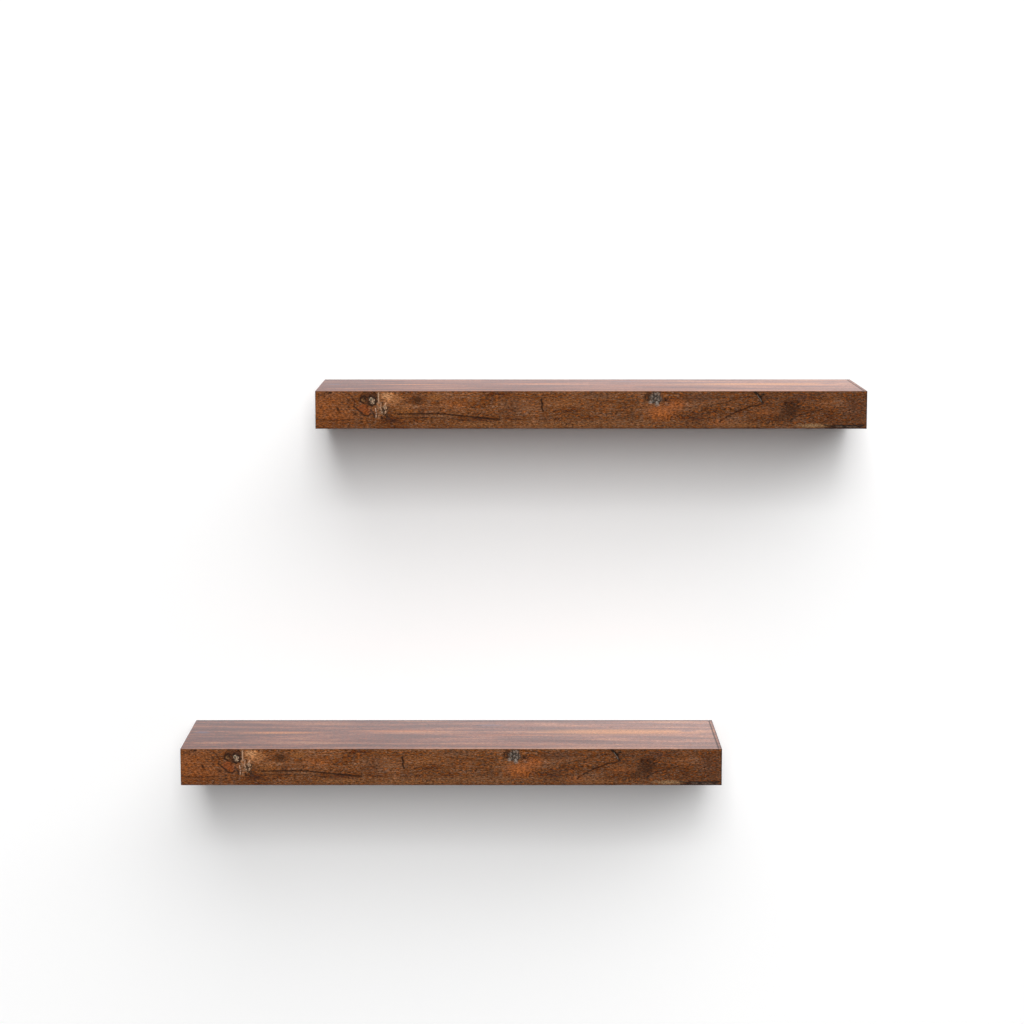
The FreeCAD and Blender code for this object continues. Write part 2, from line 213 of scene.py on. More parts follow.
wall_paint = bpy.data.materials.new("matt_white_wall_paint")
tree = emptied(wall_paint)
paint = add(tree, "BsdfDiffuse", colour("ffffff"))
from_behind = add(tree, "NewGeometry").outputs["Backfacing"]
one_sided = add(tree, "MixShader", from_behind, paint, add(tree, "BsdfTransparent"))
add(tree, "OutputMaterial", one_sided)

wall = stage_plane("stage_wall", [
    (-WALL_HALF_WIDTH, WALL_GAP, FLOOR_HEIGHT), (WALL_HALF_WIDTH, WALL_GAP, FLOOR_HEIGHT),
    (WALL_HALF_WIDTH, WALL_GAP, WALL_TOP), (-WALL_HALF_WIDTH, WALL_GAP, WALL_TOP)], wall_paint)
wall.visible_shadow = False
floor = stage_plane("stage_floor", [
    (-FLOOR_REACH, -FLOOR_REACH, FLOOR_HEIGHT), (FLOOR_REACH, -FLOOR_REACH, FLOOR_HEIGHT),
    (FLOOR_REACH, FLOOR_REACH, FLOOR_HEIGHT), (-FLOOR_REACH, FLOOR_REACH, FLOOR_HEIGHT)], wall_paint)
floor.visible_diffuse = False
print("the wall stands", WALL_GAP / MM, "mm behind the shelves")

# %% [markdown]
# ## The light
# A product studio hangs large soft boxes. The wide one overhead and the smaller one in front throw the two
# layers of the shadow under each shelf: a dark band with a soft end, and a long pale one. Both are far off, so
# the light is the same on the two shelves. A third box behind and below reaches only what faces the wall. The
# world gives a faint fill, and is plain white where the camera or a reflection sees it.

# %% Soft boxes
LIGHT_AIM = Vector((0.08, 0.0, 0.2))
# azimuth to the right of straight ahead, elevation, distance in metres, angular half width and half height in
# degrees, and brightness beside the white wall's
SOFT_BOXES = {
    "front_box": (0.5, 20.0, 25.0, 10.0, 18.0, 9.85),
    "overhead_box": (34.0, 56.0, 25.0, 39.0, 23.0, 2.6),
    "rear_box": (155.0, -14.0, 3.0, 25.0, 10.0, 7.0),
}

for name, (azimuth, elevation, distance, half_wide, half_high, brightness) in SOFT_BOXES.items():
    around, up = math.radians(azimuth), math.radians(elevation)
    away = Vector((math.sin(around) * math.cos(up), -math.cos(around) * math.cos(up), math.sin(up)))
    lamp = bpy.data.lights.new(name, "AREA")
    lamp.shape = "RECTANGLE"
    lamp.size = 2 * distance * math.tan(math.radians(half_wide))
    lamp.size_y = 2 * distance * math.tan(math.radians(half_high))
    lamp.energy = brightness * math.pi * lamp.size * lamp.size_y
    box = new_object(name, lamp)
    box.location = LIGHT_AIM + away * distance
    box.rotation_euler = away.to_track_quat("Z", "Y").to_euler()
    print(name, "at", [round(place, 2) for place in box.location], "gives", round(lamp.energy), "W")

# %% World
WORLD_FILL = 0.06

world = bpy.data.worlds.new("white_studio")
tree = emptied(world)
path = add(tree, "LightPath")
seen = add(tree, "Math", path.outputs["Is Camera Ray"], path.outputs["Is Glossy Ray"], operation="MAXIMUM")
seen = add(tree, "Math", seen, path.outputs["Is Transmission Ray"], operation="MAXIMUM")
strength = add(tree, "MapRange", seen, To_Min=WORLD_FILL, To_Max=1.0)
add(tree, "OutputWorld", add(tree, "Background", colour("ffffff"), strength))
bpy.context.scene.world = world

# %% [markdown]
# ## Printed wood foil
# The skin's face is a sheet of foil printed with weathered hardwood and pressed to feel like it. A scanned
# plank would be the quick way. Here the print is drawn with noise and placed marks, on a map laid flat on the
# foil, in millimetres: across from the middle of the front, and up from its mid line, round onto the top. So
# the grain has its real scale, and it runs over the folds as the print does.

# %% Marks on the foil
# Each stroke is a run of points (across, up) in millimetres, its width, its colour and how strong it is.
STROKES = [
    ([(-279.8, 1.2), (-279.6, -0.2)], 1.6, "120905", 1.0),
    ([(-240, 19.5), (-235.8, 16.5), (-235.4, 11.5), (-238, 6.8), (-242.5, 4.4), (-246.5, 7)],
     1.0, "130b07", 0.9),
    ([(-247.5, 13.5), (-250.5, 15.8), (-254.8, 14), (-255, 9.5), (-251.5, 7.2)], 0.8, "160d08", 0.8),
    ([(-234.8, 18.5), (-235.2, 14), (-234.6, 8)], 0.6, "c9a488", 0.6),
    ([(-232, 8), (-233.2, 3), (-231.4, -2.5)], 0.6, "bf9c80", 0.5),
    ([(-227.4, 7), (-228.6, 2.5), (-227, -3.5)], 0.6, "bf9c80", 0.6),
    ([(-238.4, 1.5), (-237.2, -4), (-238, -8.5)], 0.6, "c4a188", 0.75),
    ([(-230.2, 7.4), (-230.8, 2), (-229.4, -4.6)], 0.5, "1d130d", 0.8),
    ([(-224.6, 4), (-225.6, -1), (-224.4, -5)], 0.5, "1d130d", 0.6),
    ([(-274, 20), (-266, 16.5), (-261.5, 10), (-261.5, 4)], 0.7, "2f170c", 0.7),
    ([(-270, 14), (-268, 4), (-262, -4), (-254, -10)], 0.6, "3a1f10", 0.5),
    ([(-262.5, 3.9), (-257, -0.6), (-251.4, -5.6), (-246.4, -6.7), (-243.6, -3.9)], 1.0, "1f100a", 0.95),
    ([(-243.6, 0), (-240.5, -4), (-239, -8)], 1.3, "221c1a", 0.85),
    ([(-236, 4), (-237.5, -2), (-236, -8)], 0.7, "2a1d16", 0.7),
    ([(-235.5, 20), (-234.5, 12), (-236, 5), (-234, -3), (-235, -9)], 1.6, "b08a6a", 0.25),
    ([(-214, 7), (-210.5, 1), (-212, -7), (-217, -12)], 0.6, "33200f", 0.5),
    ([(-219, 4), (-216, 0), (-217.5, -6)], 0.6, "33200f", 0.45),
    ([(-250, 21), (-254, 17), (-254.5, 9), (-252, 7)], 0.7, "1f120b", 0.7),
    ([(-214, -4.6), (-190, -4.2), (-168, -4.0), (-150, -6.0), (-128, -8.2), (-101, -10.6)],
     0.95, "1e0f07", 0.95),
    ([(-216, -9), (-190, -8.2), (-160, -9.2), (-130, -12.4)], 0.6, "2c180c", 0.6),
    ([(-300, -11), (-280, -11.8), (-262, -10.5)], 0.8, "241208", 0.7),
    ([(-200, 1), (-180, 0.4), (-150, 1.6)], 0.5, "3b2212", 0.4),
    ([(-55.2, 11.7), (-54, 6), (-54.6, 3), (-53.2, -1.2)], 1.25, "120a06", 1.0),
    ([(22.3, 0), (22.0, -8)], 0.5, "261910", 0.6),
    ([(8, 15), (28, 12), (52, 9)], 0.6, "2c1a10", 0.5), ([(2, 10), (30, 7.5), (50, 5)], 0.5, "331d10", 0.4),
    ([(68.5, 20), (69.5, 8)], 0.8, "1f1a17", 0.8), ([(76.3, 20), (76, 9)], 0.7, "1f1a17", 0.75),
    ([(73, 17), (72, 10)], 0.5, "2b2622", 0.7),
    ([(100, 2.0), (116, 3.8), (128, 4.2), (146, 8), (165, 13)], 0.6, "251309", 0.6),
    ([(104, 13), (128, 12), (150, 15)], 0.5, "2a1a12", 0.4),
    ([(180, 21), (185.5, 15.5), (189.5, 8)], 1.5, "100b08", 1.0),
    ([(190.5, 17.5), (186, 15), (181, 19.5)], 1.5, "1a140d", 0.9),
    ([(183.4, 16.8), (186.6, 12.6), (188.2, 9.4)], 0.5, "6a655e", 0.8),
    ([(189, 6), (175, 3.5), (160, -2.5), (151, -7), (142, -13)], 0.85, "1b0d07", 0.85),
    ([(255, 0.5), (243, -2.5), (230, -6), (218, -13)], 0.85, "1b0d07", 0.7),
    ([(200, 2), (214, -3), (222, -10)], 0.6, "2a180d", 0.4),
    ([(258, -16.5), (266, -18.5), (270, -17), (284, -17.4), (303, -17.0)], 0.9, "15100d", 0.85),
    ([(258, -20.2), (280, -19.9), (304, -20.4)], 0.8, "1b1410", 0.7),
]
# Each patch is its middle (across, up) and half sizes in millimetres, its soft edge as a share, its colour and
# how strong it is.
PATCHES = [
    ((-300, 0), (45, 40), 1.0, "8c4d22", 0.4), ((0, -15), (300, 7), 1.0, "8a6040", 0.3),
    ((-283, -6), (18, 12), 1.0, "8d4f25", 0.3),
    ((-295, 17), (18, 6), 0.9, "2e190d", 0.4), ((-290, 19.6), (6, 1.8), 0.5, "160c08", 0.8),
    ((-279, -6), (0.8, 5), 0.8, "331c10", 0.5),
    ((-221, 13), (17, 11), 0.8, "a06b42", 0.6), ((-226, 16), (9, 6), 0.8, "b98a62", 0.55),
    ((-207, -2), (20, 12), 1.0, "8f5a2f", 0.4), ((-268, -8), (16, 9), 1.0, "8b4c22", 0.35),
    ((-245, 12), (12.5, 9.0), 0.4, "3b2315", 0.85), ((-251.5, 1.5), (7.5, 6.5), 0.4, "6d3415", 0.85),
    ((-247, -2), (5, 4.5), 0.5, "7c3d18", 0.7), ((-262, -4), (6, 4), 0.8, "2c190e", 0.5),
    ((-252, 11.8), (4.2, 3.6), 0.3, "1a100a", 0.85), ((-252, 11.8), (2.9, 2.3), 0.3, "6b4a2e", 0.95),
    ((-241.8, 10.8), (5.4, 6.4), 0.3, "1a1210", 0.85), ((-242, 10.6), (4.2, 5.0), 0.5, "a0846c", 0.9),
    ((-243, 13), (1.6, 1.4), 0.5, "d2c0a4", 0.9), ((-240.8, 8.6), (1.4, 1.6), 0.5, "c9b294", 0.8),
    ((-229, 0), (6.5, 8), 0.6, "93755a", 0.55), ((-229.5, 0), (2.2, 3.5), 0.5, "241c17", 0.8),
    ((-226, -7), (2.0, 3.0), 0.5, "241c17", 0.7), ((-231, -9), (2.4, 2), 0.5, "1f1813", 0.6),
    ((-227.5, 3.5), (1.8, 2.4), 0.6, "bd9a7a", 0.6), ((-231, -2.5), (1.2, 2.6), 0.6, "b8967a", 0.6),
    ((-222, -12), (10, 1.5), 0.6, "241711", 0.5), ((-192, 11), (10, 9), 0.8, "22150c", 0.75),
    ((-186, -2), (9, 8), 0.9, "33201a", 0.35), ((-172, 14), (12, 6), 0.9, "8a5a30", 0.4),
    ((-150, 6), (24, 8), 0.9, "8c4f25", 0.4), ((-172, -7), (34, 2.2), 0.8, "7a5c45", 0.45),
    ((-88, 2), (20, 16), 0.9, "33211a", 0.4), ((-125, -16), (40, 4), 0.9, "8a5c36", 0.35),
    ((-30, 8), (30, 9), 1.0, "83522d", 0.35), ((-50, -10), (10, 9), 0.9, "33211a", 0.4),
    ((5, 16), (30, 4), 0.9, "2f2019", 0.5), ((40, -8), (26, 10), 1.0, "4c3424", 0.4),
    ((15, 4), (12, 5), 1.0, "7f4722", 0.4), ((63, 14.5), (5.5, 7), 0.6, "0f0a08", 0.9),
    ((72, 13), (11, 10), 0.7, "2b1a11", 0.7), ((71.9, 13.6), (8.4, 8.4), 0.5, "69625a", 0.85),
    ((73, 6.5), (3, 4), 0.5, "6d6a64", 0.85), ((66, 8.6), (3.2, 2.4), 0.5, "75716a", 0.8),
    ((84, 6.5), (4.0, 2.6), 0.7, "5f5c54", 0.7), ((82.5, 12), (3.0, 5.0), 0.7, "221812", 0.6),
    ((80, 16), (5, 4), 0.8, "94582b", 0.5),
    ((93, 6), (18, 9), 0.9, "944d1e", 0.5), ((78, -3), (26, 14), 0.9, "8f4c1f", 0.65),
    ((75, -4), (13, 9), 1.0, "a05f33", 0.3), ((120, 14), (34, 8), 0.9, "33221c", 0.5),
    ((118, -8), (22, 10), 1.0, "41291d", 0.35), ((140, -14), (18, 6), 1.0, "8a4a20", 0.4),
    ((220, 1), (16, 18), 0.8, "1a0d07", 0.8), ((208, -9), (12, 6), 0.9, "22130b", 0.5),
    ((200, 14), (20, 6), 0.9, "2c1a12", 0.45), ((190, -3), (20, 5), 0.9, "7e4824", 0.5),
    ((232, 14), (16, 6), 0.8, "3a2620", 0.5),
    ((262, 6), (16, 10), 0.9, "74421f", 0.4), ((292, 2), (20, 18), 0.9, "38221a", 0.4),
    ((250, 17), (12, 4), 0.9, "221611", 0.5), ((245, -17.5), (26, 3.2), 0.8, "9a7c58", 0.55),
    ((170, -17), (44, 3.4), 0.9, "80532e", 0.45), ((284, -18.6), (20, 2.6), 0.4, "4c4239", 0.7),
    ((268, -19), (3.5, 2.2), 0.4, "0e0a08", 0.85), ((280, -18), (2.6, 2), 0.4, "14100c", 0.75),
    ((297, -18.6), (3, 1.6), 0.4, "14100c", 0.75), ((-40, -17), (60, 3), 0.9, "80532e", 0.35),
    ((42, 143), (24, 8), 0.7, "5d5a66", 0.7), ((28, 141), (9, 3), 0.5, "3a3034", 0.7),
    ((184, 133), (1.8, 2.6), 0.4, "140c0b", 0.9), ((190, 108), (125, 20), 0.7, "b98259", 0.8),
    ((272, 113), (14, 5), 0.7, "5b5866", 0.75), ((-290, 106), (12, 6), 0.6, "4c4a5c", 0.85),
    ((-257, 124), (14, 4), 0.7, "4a3a40", 0.6), ((-200, 103), (75, 9), 0.9, "c07a48", 0.7),
    ((-60, 112), (75, 10), 0.9, "b56d40", 0.55), ((60, 92), (90, 8), 0.9, "a5623c", 0.45),
    ((-270, 70), (60, 18), 0.9, "4a2f2e", 0.5), ((-120, 60), (110, 12), 0.9, "55312a", 0.45),
    ((120, 60), (110, 10), 0.9, "553430", 0.45), ((-230, 145), (60, 12), 0.9, "4a2c2c", 0.6),
    ((60, 40), (120, 8), 0.9, "9a6248", 0.4), ((-270, 78), (46, 4), 0.7, "3a2a30", 0.4),
]
# Each knot is cracked all over: its middle (across, up) and half sizes.
KNOTS = [((-242, 10.5), (7, 8)), ((-228, -3), (9, 10)), ((72.5, 13), (9, 9)), ((83, 9), (6, 6))]
print(len(STROKES), "strokes,", len(PATCHES), "patches and", len(KNOTS), "cracked knots")

# %% Shapes of a stroke and a patch
NUDGE = 0.3  # millimetres
MASK = {"Mask": "Float", "Point": "Vector"}


def close_group(group, given, result, gap, hard, edge):
    """Fade the mask from 1 inside hard to 0 at the edge, and nudge the point up where the mask is."""
    fade = add(group, "MapRange", gap, From_Min=hard, From_Max=edge, To_Min=1.0, To_Max=0.0,
               interpolation_type="SMOOTHSTEP")
    lift = add(group, "CombineXYZ", Y=product(group, fade, NUDGE))
    nudged = add(group, "VectorMath", given["Point"], lift, operation="ADD")
    group.links.new(fade.outputs[0], result["Mask"])
    group.links.new(nudged.outputs[0], result["Point"])


stroke_shape, given, result = new_group("ShaderNodeTree", "foil_stroke", {
    "Point": "Vector", "From": "Vector", "To": "Vector", "Width": "Float"}, MASK)
line = add(stroke_shape, "VectorMath", given["To"], given["From"], operation="SUBTRACT")
reach = add(stroke_shape, "VectorMath", given["Point"], given["From"], operation="SUBTRACT")
dot = add(stroke_shape, "VectorMath", reach, line, operation="DOT_PRODUCT").outputs["Value"]
square = add(stroke_shape, "VectorMath", line, line, operation="DOT_PRODUCT").outputs["Value"]
share = add(stroke_shape, "Math", dot, square, operation="DIVIDE", use_clamp=True)
nearest = add(stroke_shape, "VectorMath", line, operation="SCALE", Scale=share)
gap = add(stroke_shape, "VectorMath", reach, nearest, operation="DISTANCE").outputs["Value"]
close_group(stroke_shape, given, result, gap, 0.0, given["Width"])

patch_shape, given, result = new_group("ShaderNodeTree", "foil_patch", {
    "Point": "Vector", "Middle": "Vector", "Half Size": "Vector", "Hard": "Float"}, MASK)
offset = add(patch_shape, "VectorMath", given["Point"], given["Middle"], operation="SUBTRACT")
scaled = add(patch_shape, "VectorMath", offset, given["Half Size"], operation="DIVIDE")
gap = add(patch_shape, "VectorMath", scaled, operation="LENGTH").outputs["Value"]
close_group(patch_shape, given, result, gap, given["Hard"], 1.0)

# %% [markdown]
# The print has three scales. Bands of grain run the whole length, flecks a few millimetres long break them up,
# and slow clouds make one end redder and the other darker. Growth rings are the contour lines of a slow noise.
# The placed marks come next, with cracks through the knots, and a speckle along the grain over it all.
# The lacquer over the print is dead matt: it mirrors nothing, so the shader's specular level is nought. But it
# goes pale and pink where it is seen along its surface, the top most of all. That is sheen, and on the top also
# painted light: a paler print that lightens to the right, a painted highlight on the arris, painted shade at
# the rear.
#
# One material with every mark in it is more than Cycles can hold at once, and it would turn black. So each mark
# hands its point on to the next, which keeps few of them alive, and the front, the top and the plain faces
# have a foil each.

# %% Scales and colours of the print
FOIL_LENGTH = 610.0
FRONT_TOP = 21.0
JOINT_ACROSS = 301.0
FOIL_TOP_REAR = 170.0
RING_SPACING = 1.25
CRACK_CELL = (3.0, 5.0)
STROKE_SPREAD = 1.6  # a stroke fades out over this many times its width

SEED_STEP = (17.3, 9.1)
# Each noise: how long and high its spots are in millimetres, its seed, its detail and how rough it is.
NOISES = {
    "sway": (60, 18, 1, 2, 0.55), "long_sway": (150, 30, 13, 2, 0.55), "rag": (3.5, 2.2, 2, 3, 0.55),
    "clouds": (48, 15, 3, 2, 0.55), "bands": (70, 2.6, 4, 4, 0.6), "streaks": (9, 1.5, 5, 3, 0.6),
    "pores": (4.5, 0.6, 7, 2, 0.55), "spots": (5.0, 1.4, 8, 3, 0.7), "speckle": (3.4, 0.95, 11, 2, 0.9),
    "flecks": (2.4, 1.1, 6, 3, 0.75), "swirl": (46, 17, 12, 2, 0.55), "broad": (170, 14, 9, 4, 0.6),
}
# The browns on the front and the reds on the top, from dark to light, and how each drifts to the right.
FRONT_BROWNS = [(0.36, "2e1309"), (0.42, "4f2b0e"), (0.46, "573516"), (0.50, "5f3b20"), (0.54, "664128"),
                (0.58, "6b4930"), (0.63, "734f38"), (0.72, "8a674d")]
# The top's reds are paler and pinker than the front's browns though one foil wraps both: print and painted
# light.
TOP_REDS_AND_PAINTED_LIGHT = [(0.35, "352328"), (0.45, "4c2e2e"), (0.50, "653d36"), (0.54, "825142"), (0.61, "a06b4c"),
            (0.70, "bd8c68")]
FRONT_DRIFT = [(0.0, "fff3e4"), (0.3, "fbf6ec"), (0.6, "f1f1ee"), (0.82, "dad6ce"), (1.0, "cac6c0")]
# On the top the drift is painted light: darker at the left and lighter to the right.
TOP_PAINTED_LIGHT_DRIFT = [(0.0, "c4c0c8"), (0.45, "e2dee0"), (1.0, "ffffff")]
print(len(NOISES), "noises from", min(spot[1] for spot in NOISES.values()), "mm high")


# %% Grain
def stretched(tree, point, label):
    """One of the print's noises, drawn at this point."""
    length, height, seed, detail, rough = NOISES[label]
    scaled = add(tree, "Mapping", point, Location=(seed * SEED_STEP[0], seed * SEED_STEP[1], 0),
                 Scale=(1 / length, 1 / height, 1))
    return add(tree, "TexNoise", scaled, noise_dimensions="2D", Scale=1.0, Detail=detail, Roughness=rough)


def swayed(tree, point, noise, reach):
    """The point moved by up to half of reach, in millimetres each way."""
    shift = add(tree, "VectorMath", noise.outputs["Color"], (0.5, 0.5, 0.5), operation="SUBTRACT")
    shift = add(tree, "VectorMath", shift, reach, operation="MULTIPLY")
    return add(tree, "VectorMath", point, shift, operation="ADD").outputs[0]


def overlaid(tree, wood, hex_code, *shares):
    """The wood with a colour laid over it, as much of it as the product of these shares."""
    return add(tree, "MixRGB", product(tree, *shares), wood, colour(hex_code))


# %% Foil
def foil(name, lowest, highest, haze, spread):
    """The foil with the marks that lie between two heights in millimetres, and its lacquer's haze."""
    material, tree, shader = new_material(
        name, Roughness=0.42, Specular_IOR_Level=0.0, Sheen_Weight=haze, Sheen_Roughness=spread,
        Sheen_Tint=colour("fcf3f4"))
    mm = add(tree, "VectorMath", add(tree, "UVMap", uv_map="foil"), operation="SCALE", Scale=1000.0)
    place = add(tree, "SeparateXYZ", mm)
    across, height = place.outputs["X"], place.outputs["Y"]

    # the points that the noises and the marks are drawn at, each swayed so that no line is ruled
    sway, long_sway, rag, flecks, swirl = [
        stretched(tree, mm, label) for label in ("sway", "long_sway", "rag", "flecks", "swirl")]
    grain_point = swayed(tree, mm, sway, (0, 9, 0))
    long_point = swayed(tree, mm, long_sway, (0, 12, 0))
    mark_point = swayed(tree, mm, rag, (6.0, 4.0, 0))
    stroke_point = swayed(tree, mm, rag, (1.1, 1.0, 0))
    clouds, bands, streaks, pores, spots, speckle = [
        stretched(tree, grain_point, label)
        for label in ("clouds", "bands", "streaks", "pores", "spots", "speckle")]
    broad = stretched(tree, long_point, "broad")

    # the print's tone: brown on the front, and on the top a paler red that is partly painted light
    ring_height = summed(tree, (height, 0.5), (swirl, 26.0))
    rings = add(tree, "Math", product(tree, ring_height, math.tau / RING_SPACING), operation="SINE")
    tone = summed(tree, (clouds, 0.42), (bands, 0.26), (streaks, 0.36), (flecks, 0.42), (rings, 0.022),
                  (1.0, -0.23))
    long_tone = summed(tree, (broad, 0.68), (bands, 0.24), (streaks, 0.36), (1.0, -0.14))
    on_top = add(tree, "MapRange", height, From_Min=FRONT_TOP - 0.4, From_Max=FRONT_TOP + 0.6)
    wood = add(tree, "MixRGB", on_top, ramp(tree, tone, FRONT_BROWNS), ramp(tree, long_tone, TOP_REDS_AND_PAINTED_LIGHT))
    drift = add(tree, "MapRange", across, From_Min=-FOIL_LENGTH / 2, From_Max=FOIL_LENGTH / 2)
    # the front's drift is the print's; the top's is painted light, darker at the left and lighter to the right
    drift_and_painted_light = add(tree, "MixRGB", on_top, ramp(tree, drift, FRONT_DRIFT), ramp(tree, drift, TOP_PAINTED_LIGHT_DRIFT))
    wood = add(tree, "MixRGB", 1.0, wood, drift_and_painted_light, blend_type="MULTIPLY")
    # painted light: a pale pinkish grey laid over the top, more of it to the right
    wood = overlaid(tree, wood, "c0aca6", drift, on_top, 0.3)

    # orange and grey spots, and dark pores
    for noise, bare, full, strong, hex_code in (
            (spots, 0.5, 0.66, 0.5, "8a4515"), (spots, 0.48, 0.34, 0.5, "6a5145"),
            (pores, 0.40, 0.30, 0.6, "1d0d06")):
        shown = add(tree, "MapRange", noise, From_Min=bare, From_Max=full, To_Max=strong)
        wood = overlaid(tree, wood, hex_code, shown)

    # the placed marks, broken up by the flecks
    broken = add(tree, "MapRange", flecks, From_Min=0.38, From_Max=0.52, To_Min=0.3, To_Max=1.0)
    for middle, half_size, soft, hex_code, strong in PATCHES:
        if lowest < middle[1] < highest:
            spot = add(tree, "Group", node_tree=patch_shape, Point=mark_point, Middle=(*middle, 0),
                       Half_Size=(*half_size, 1), Hard=1 - soft)
            mark_point = spot.outputs["Point"]
            wood = overlaid(tree, wood, hex_code, spot, strong, broken)
    drawn = add(tree, "MapRange", flecks, From_Min=0.36, From_Max=0.5, To_Min=0.7, To_Max=1.0)
    for points, width, hex_code, strong in STROKES:
        if lowest < points[-1][1] < highest:
            deepest = 0.0
            for start, end in zip(points, points[1:]):
                run = add(tree, "Group", node_tree=stroke_shape, Point=stroke_point, From=(*start, 0),
                          To=(*end, 0), Width=STROKE_SPREAD * width)
                stroke_point = run.outputs["Point"]
                deepest = add(tree, "Math", run, deepest, operation="MAXIMUM")
            wood = overlaid(tree, wood, hex_code, deepest, strong, drawn)
    for middle, half_size in KNOTS:
        if lowest < middle[1] < highest:
            spot = add(tree, "Group", node_tree=patch_shape, Point=mark_point, Middle=(*middle, 0),
                       Half_Size=(*half_size, 1), Hard=0.5)
            mark_point = spot.outputs["Point"]
            cells = add(tree, "Mapping", mark_point, Scale=(1 / CRACK_CELL[0], 1 / CRACK_CELL[1], 1))
            seam = add(tree, "TexVoronoi", cells, voronoi_dimensions="2D", feature="DISTANCE_TO_EDGE",
                       Scale=1.0)
            crack = add(tree, "MapRange", seam, From_Min=0.02, From_Max=0.16, To_Min=0.95, To_Max=0.0)
            wood = overlaid(tree, wood, "17100c", spot, crack)

    # a speckle along the grain, calmer on the top
    speckle = add(tree, "MapRange", speckle, From_Min=0.3, From_Max=0.7, To_Min=0.2, To_Max=2.3)
    speckle = add(tree, "MixRGB", product(tree, on_top, 0.55), speckle, (1.25, 1.25, 1.25, 1))
    wood = add(tree, "MixRGB", 1.0, wood, speckle, blend_type="MULTIPLY")

    # the joint by the end cap, dark lines at the ends and arrises, a painted highlight on the arris, painted
    # shade at the rear
    for value, where, width, hex_code, strong in (
            (across, JOINT_ACROSS, 1.3, "180d0a", on_top), (across, FOIL_LENGTH / 2 - 0.3, 1.3, "160b07", 0.9),
            (across, -FOIL_LENGTH / 2 + 0.2, 0.7, "2b1a12", 0.6), (height, FRONT_TOP - 0.9, 0.6, "2a170d", 0.5),
            # a painted highlight along the top of the front arris, and a dark line along the bottom arris
            (height, FRONT_TOP + 0.3, 0.6, "c89c84", 0.6), (height, -FRONT_TOP + 0.5, 0.6, "2a170d", 0.5),
            # painted shade in a band along the top's rear edge, where it meets the wall
            (height, FOIL_TOP_REAR, 9.0, "2c242a", 0.9)):
        away = add(tree, "Math", add(tree, "Math", value, where, operation="SUBTRACT"), operation="ABSOLUTE")
        line = add(tree, "MapRange", away, From_Max=width, To_Min=strong, To_Max=0.0)
        wood = overlaid(tree, wood, hex_code, line)

    relief = summed(tree, (streaks, 0.5), (flecks, 0.5), (pores, 0.4))
    surface(tree, shader, wood, relief, 0.35, 0.0003, gloss=(streaks, 0.2, 0.36, 0.5))
    print(name, "has", len(tree.nodes), "nodes")
    return material


front_foil = foil("printed_wood_foil_front", -FRONT_TOP, FRONT_TOP, 0.28, 0.5)
# the top's foil carries painted light: a paler print, lighter to the right, and painted shade at the rear edge
top_foil_and_painted_light = foil("printed_wood_foil_top", FRONT_TOP, FOIL_TOP_REAR, 0.32, 0.68)
plain_foil = foil("printed_wood_foil_plain", 0, 0, 0.28, 0.5)

# %% [markdown]
# ## Bare board
# Where nothing covers it, the board shows what it is pressed from. Fibreboard is fine and even, with darker
# dust in the saw marks. Particle board is a mosaic of chips one to three millimetres across. Both are dry and
# matt. Cells of a Voronoi pattern stand for the chips, each with a colour of its own.

# %% Fibreboard and particle board
def millimetres(tree):
    """Object coordinates in millimetres."""
    return add(tree, "VectorMath", add(tree, "TexCoord").outputs["Object"], operation="SCALE", Scale=1000.0)


fibreboard, tree, shader = new_material("sawn_fibreboard", Roughness=0.82, Specular_IOR_Level=0.25)
place = millimetres(tree)
fibres = add(tree, "TexNoise", place, Scale=1.8, Detail=4.0, Roughness=0.7)
blotches = add(tree, "TexNoise", place, Scale=0.05, Detail=2.0)
blend = summed(tree, (blotches, 0.4), (fibres, 0.6))
shade = ramp(tree, blend, [(0.35, "8a7152"), (0.5, "a68d6c"), (0.65, "bda688")])
surface(tree, shader, shade, fibres, 0.3, 0.0002)

particle_board, tree, shader = new_material("sawn_particle_board", Roughness=0.85, Specular_IOR_Level=0.25)
place = millimetres(tree)
wander = add(tree, "TexNoise", place, Scale=0.4, Detail=3.0)
shift = add(tree, "VectorMath", wander.outputs["Color"], (1.6, 1.6, 1.6), operation="MULTIPLY")
shifted = add(tree, "VectorMath", place, shift, operation="ADD")
long_chips = add(tree, "Mapping", shifted, Scale=(0.45, 0.8, 0.8))
chips = add(tree, "TexVoronoi", long_chips, Scale=0.7)
chip_tone = add(tree, "SeparateColor", chips.outputs["Color"])
shade = ramp(tree, chip_tone, [(0.0, "86704f"), (0.35, "aa916d"), (0.7, "c3ad88"), (1.0, "d9c8a8")])
gaps = add(tree, "MapRange", chips.outputs["Distance"], From_Min=0.45, From_Max=0.8, To_Max=0.7)
shade = add(tree, "MixRGB", gaps, shade, colour("5c4a32"))
surface(tree, shader, shade, chips.outputs["Distance"], 0.5, 0.0004, sunk=True)

# %% [markdown]
# ## Kraft paper
# The honeycomb is glued from strips of brown kraft paper and pulled open. The paper is matt, with long darker
# fibres and small pale shives.

# %% Kraft paper
kraft_paper, tree, shader = new_material("glued_kraft_paper", Roughness=0.75, Specular_IOR_Level=0.3)
place = millimetres(tree)
fibres = add(tree, "TexNoise", add(tree, "Mapping", place, Scale=(0.3, 0.3, 2.2)), Scale=1.0, Detail=4.0)
shade = ramp(tree, fibres, [(0.3, "80603e"), (0.5, "9f7a52"), (0.7, "b8946a")])
surface(tree, shader, shade, fibres, 0.25, 0.0002)

# %% [markdown]
# ## Metals and nylon
# The bracket is steel under black powder coat, which flows into a fine orange peel and scatters light softly.
# The wall screws are bright zinc, which is a little cloudy, the insert is turned brass, and the set screw has
# the thin matt skin of black oxide. The plugs are moulded nylon, which is dull and lets a little light in.

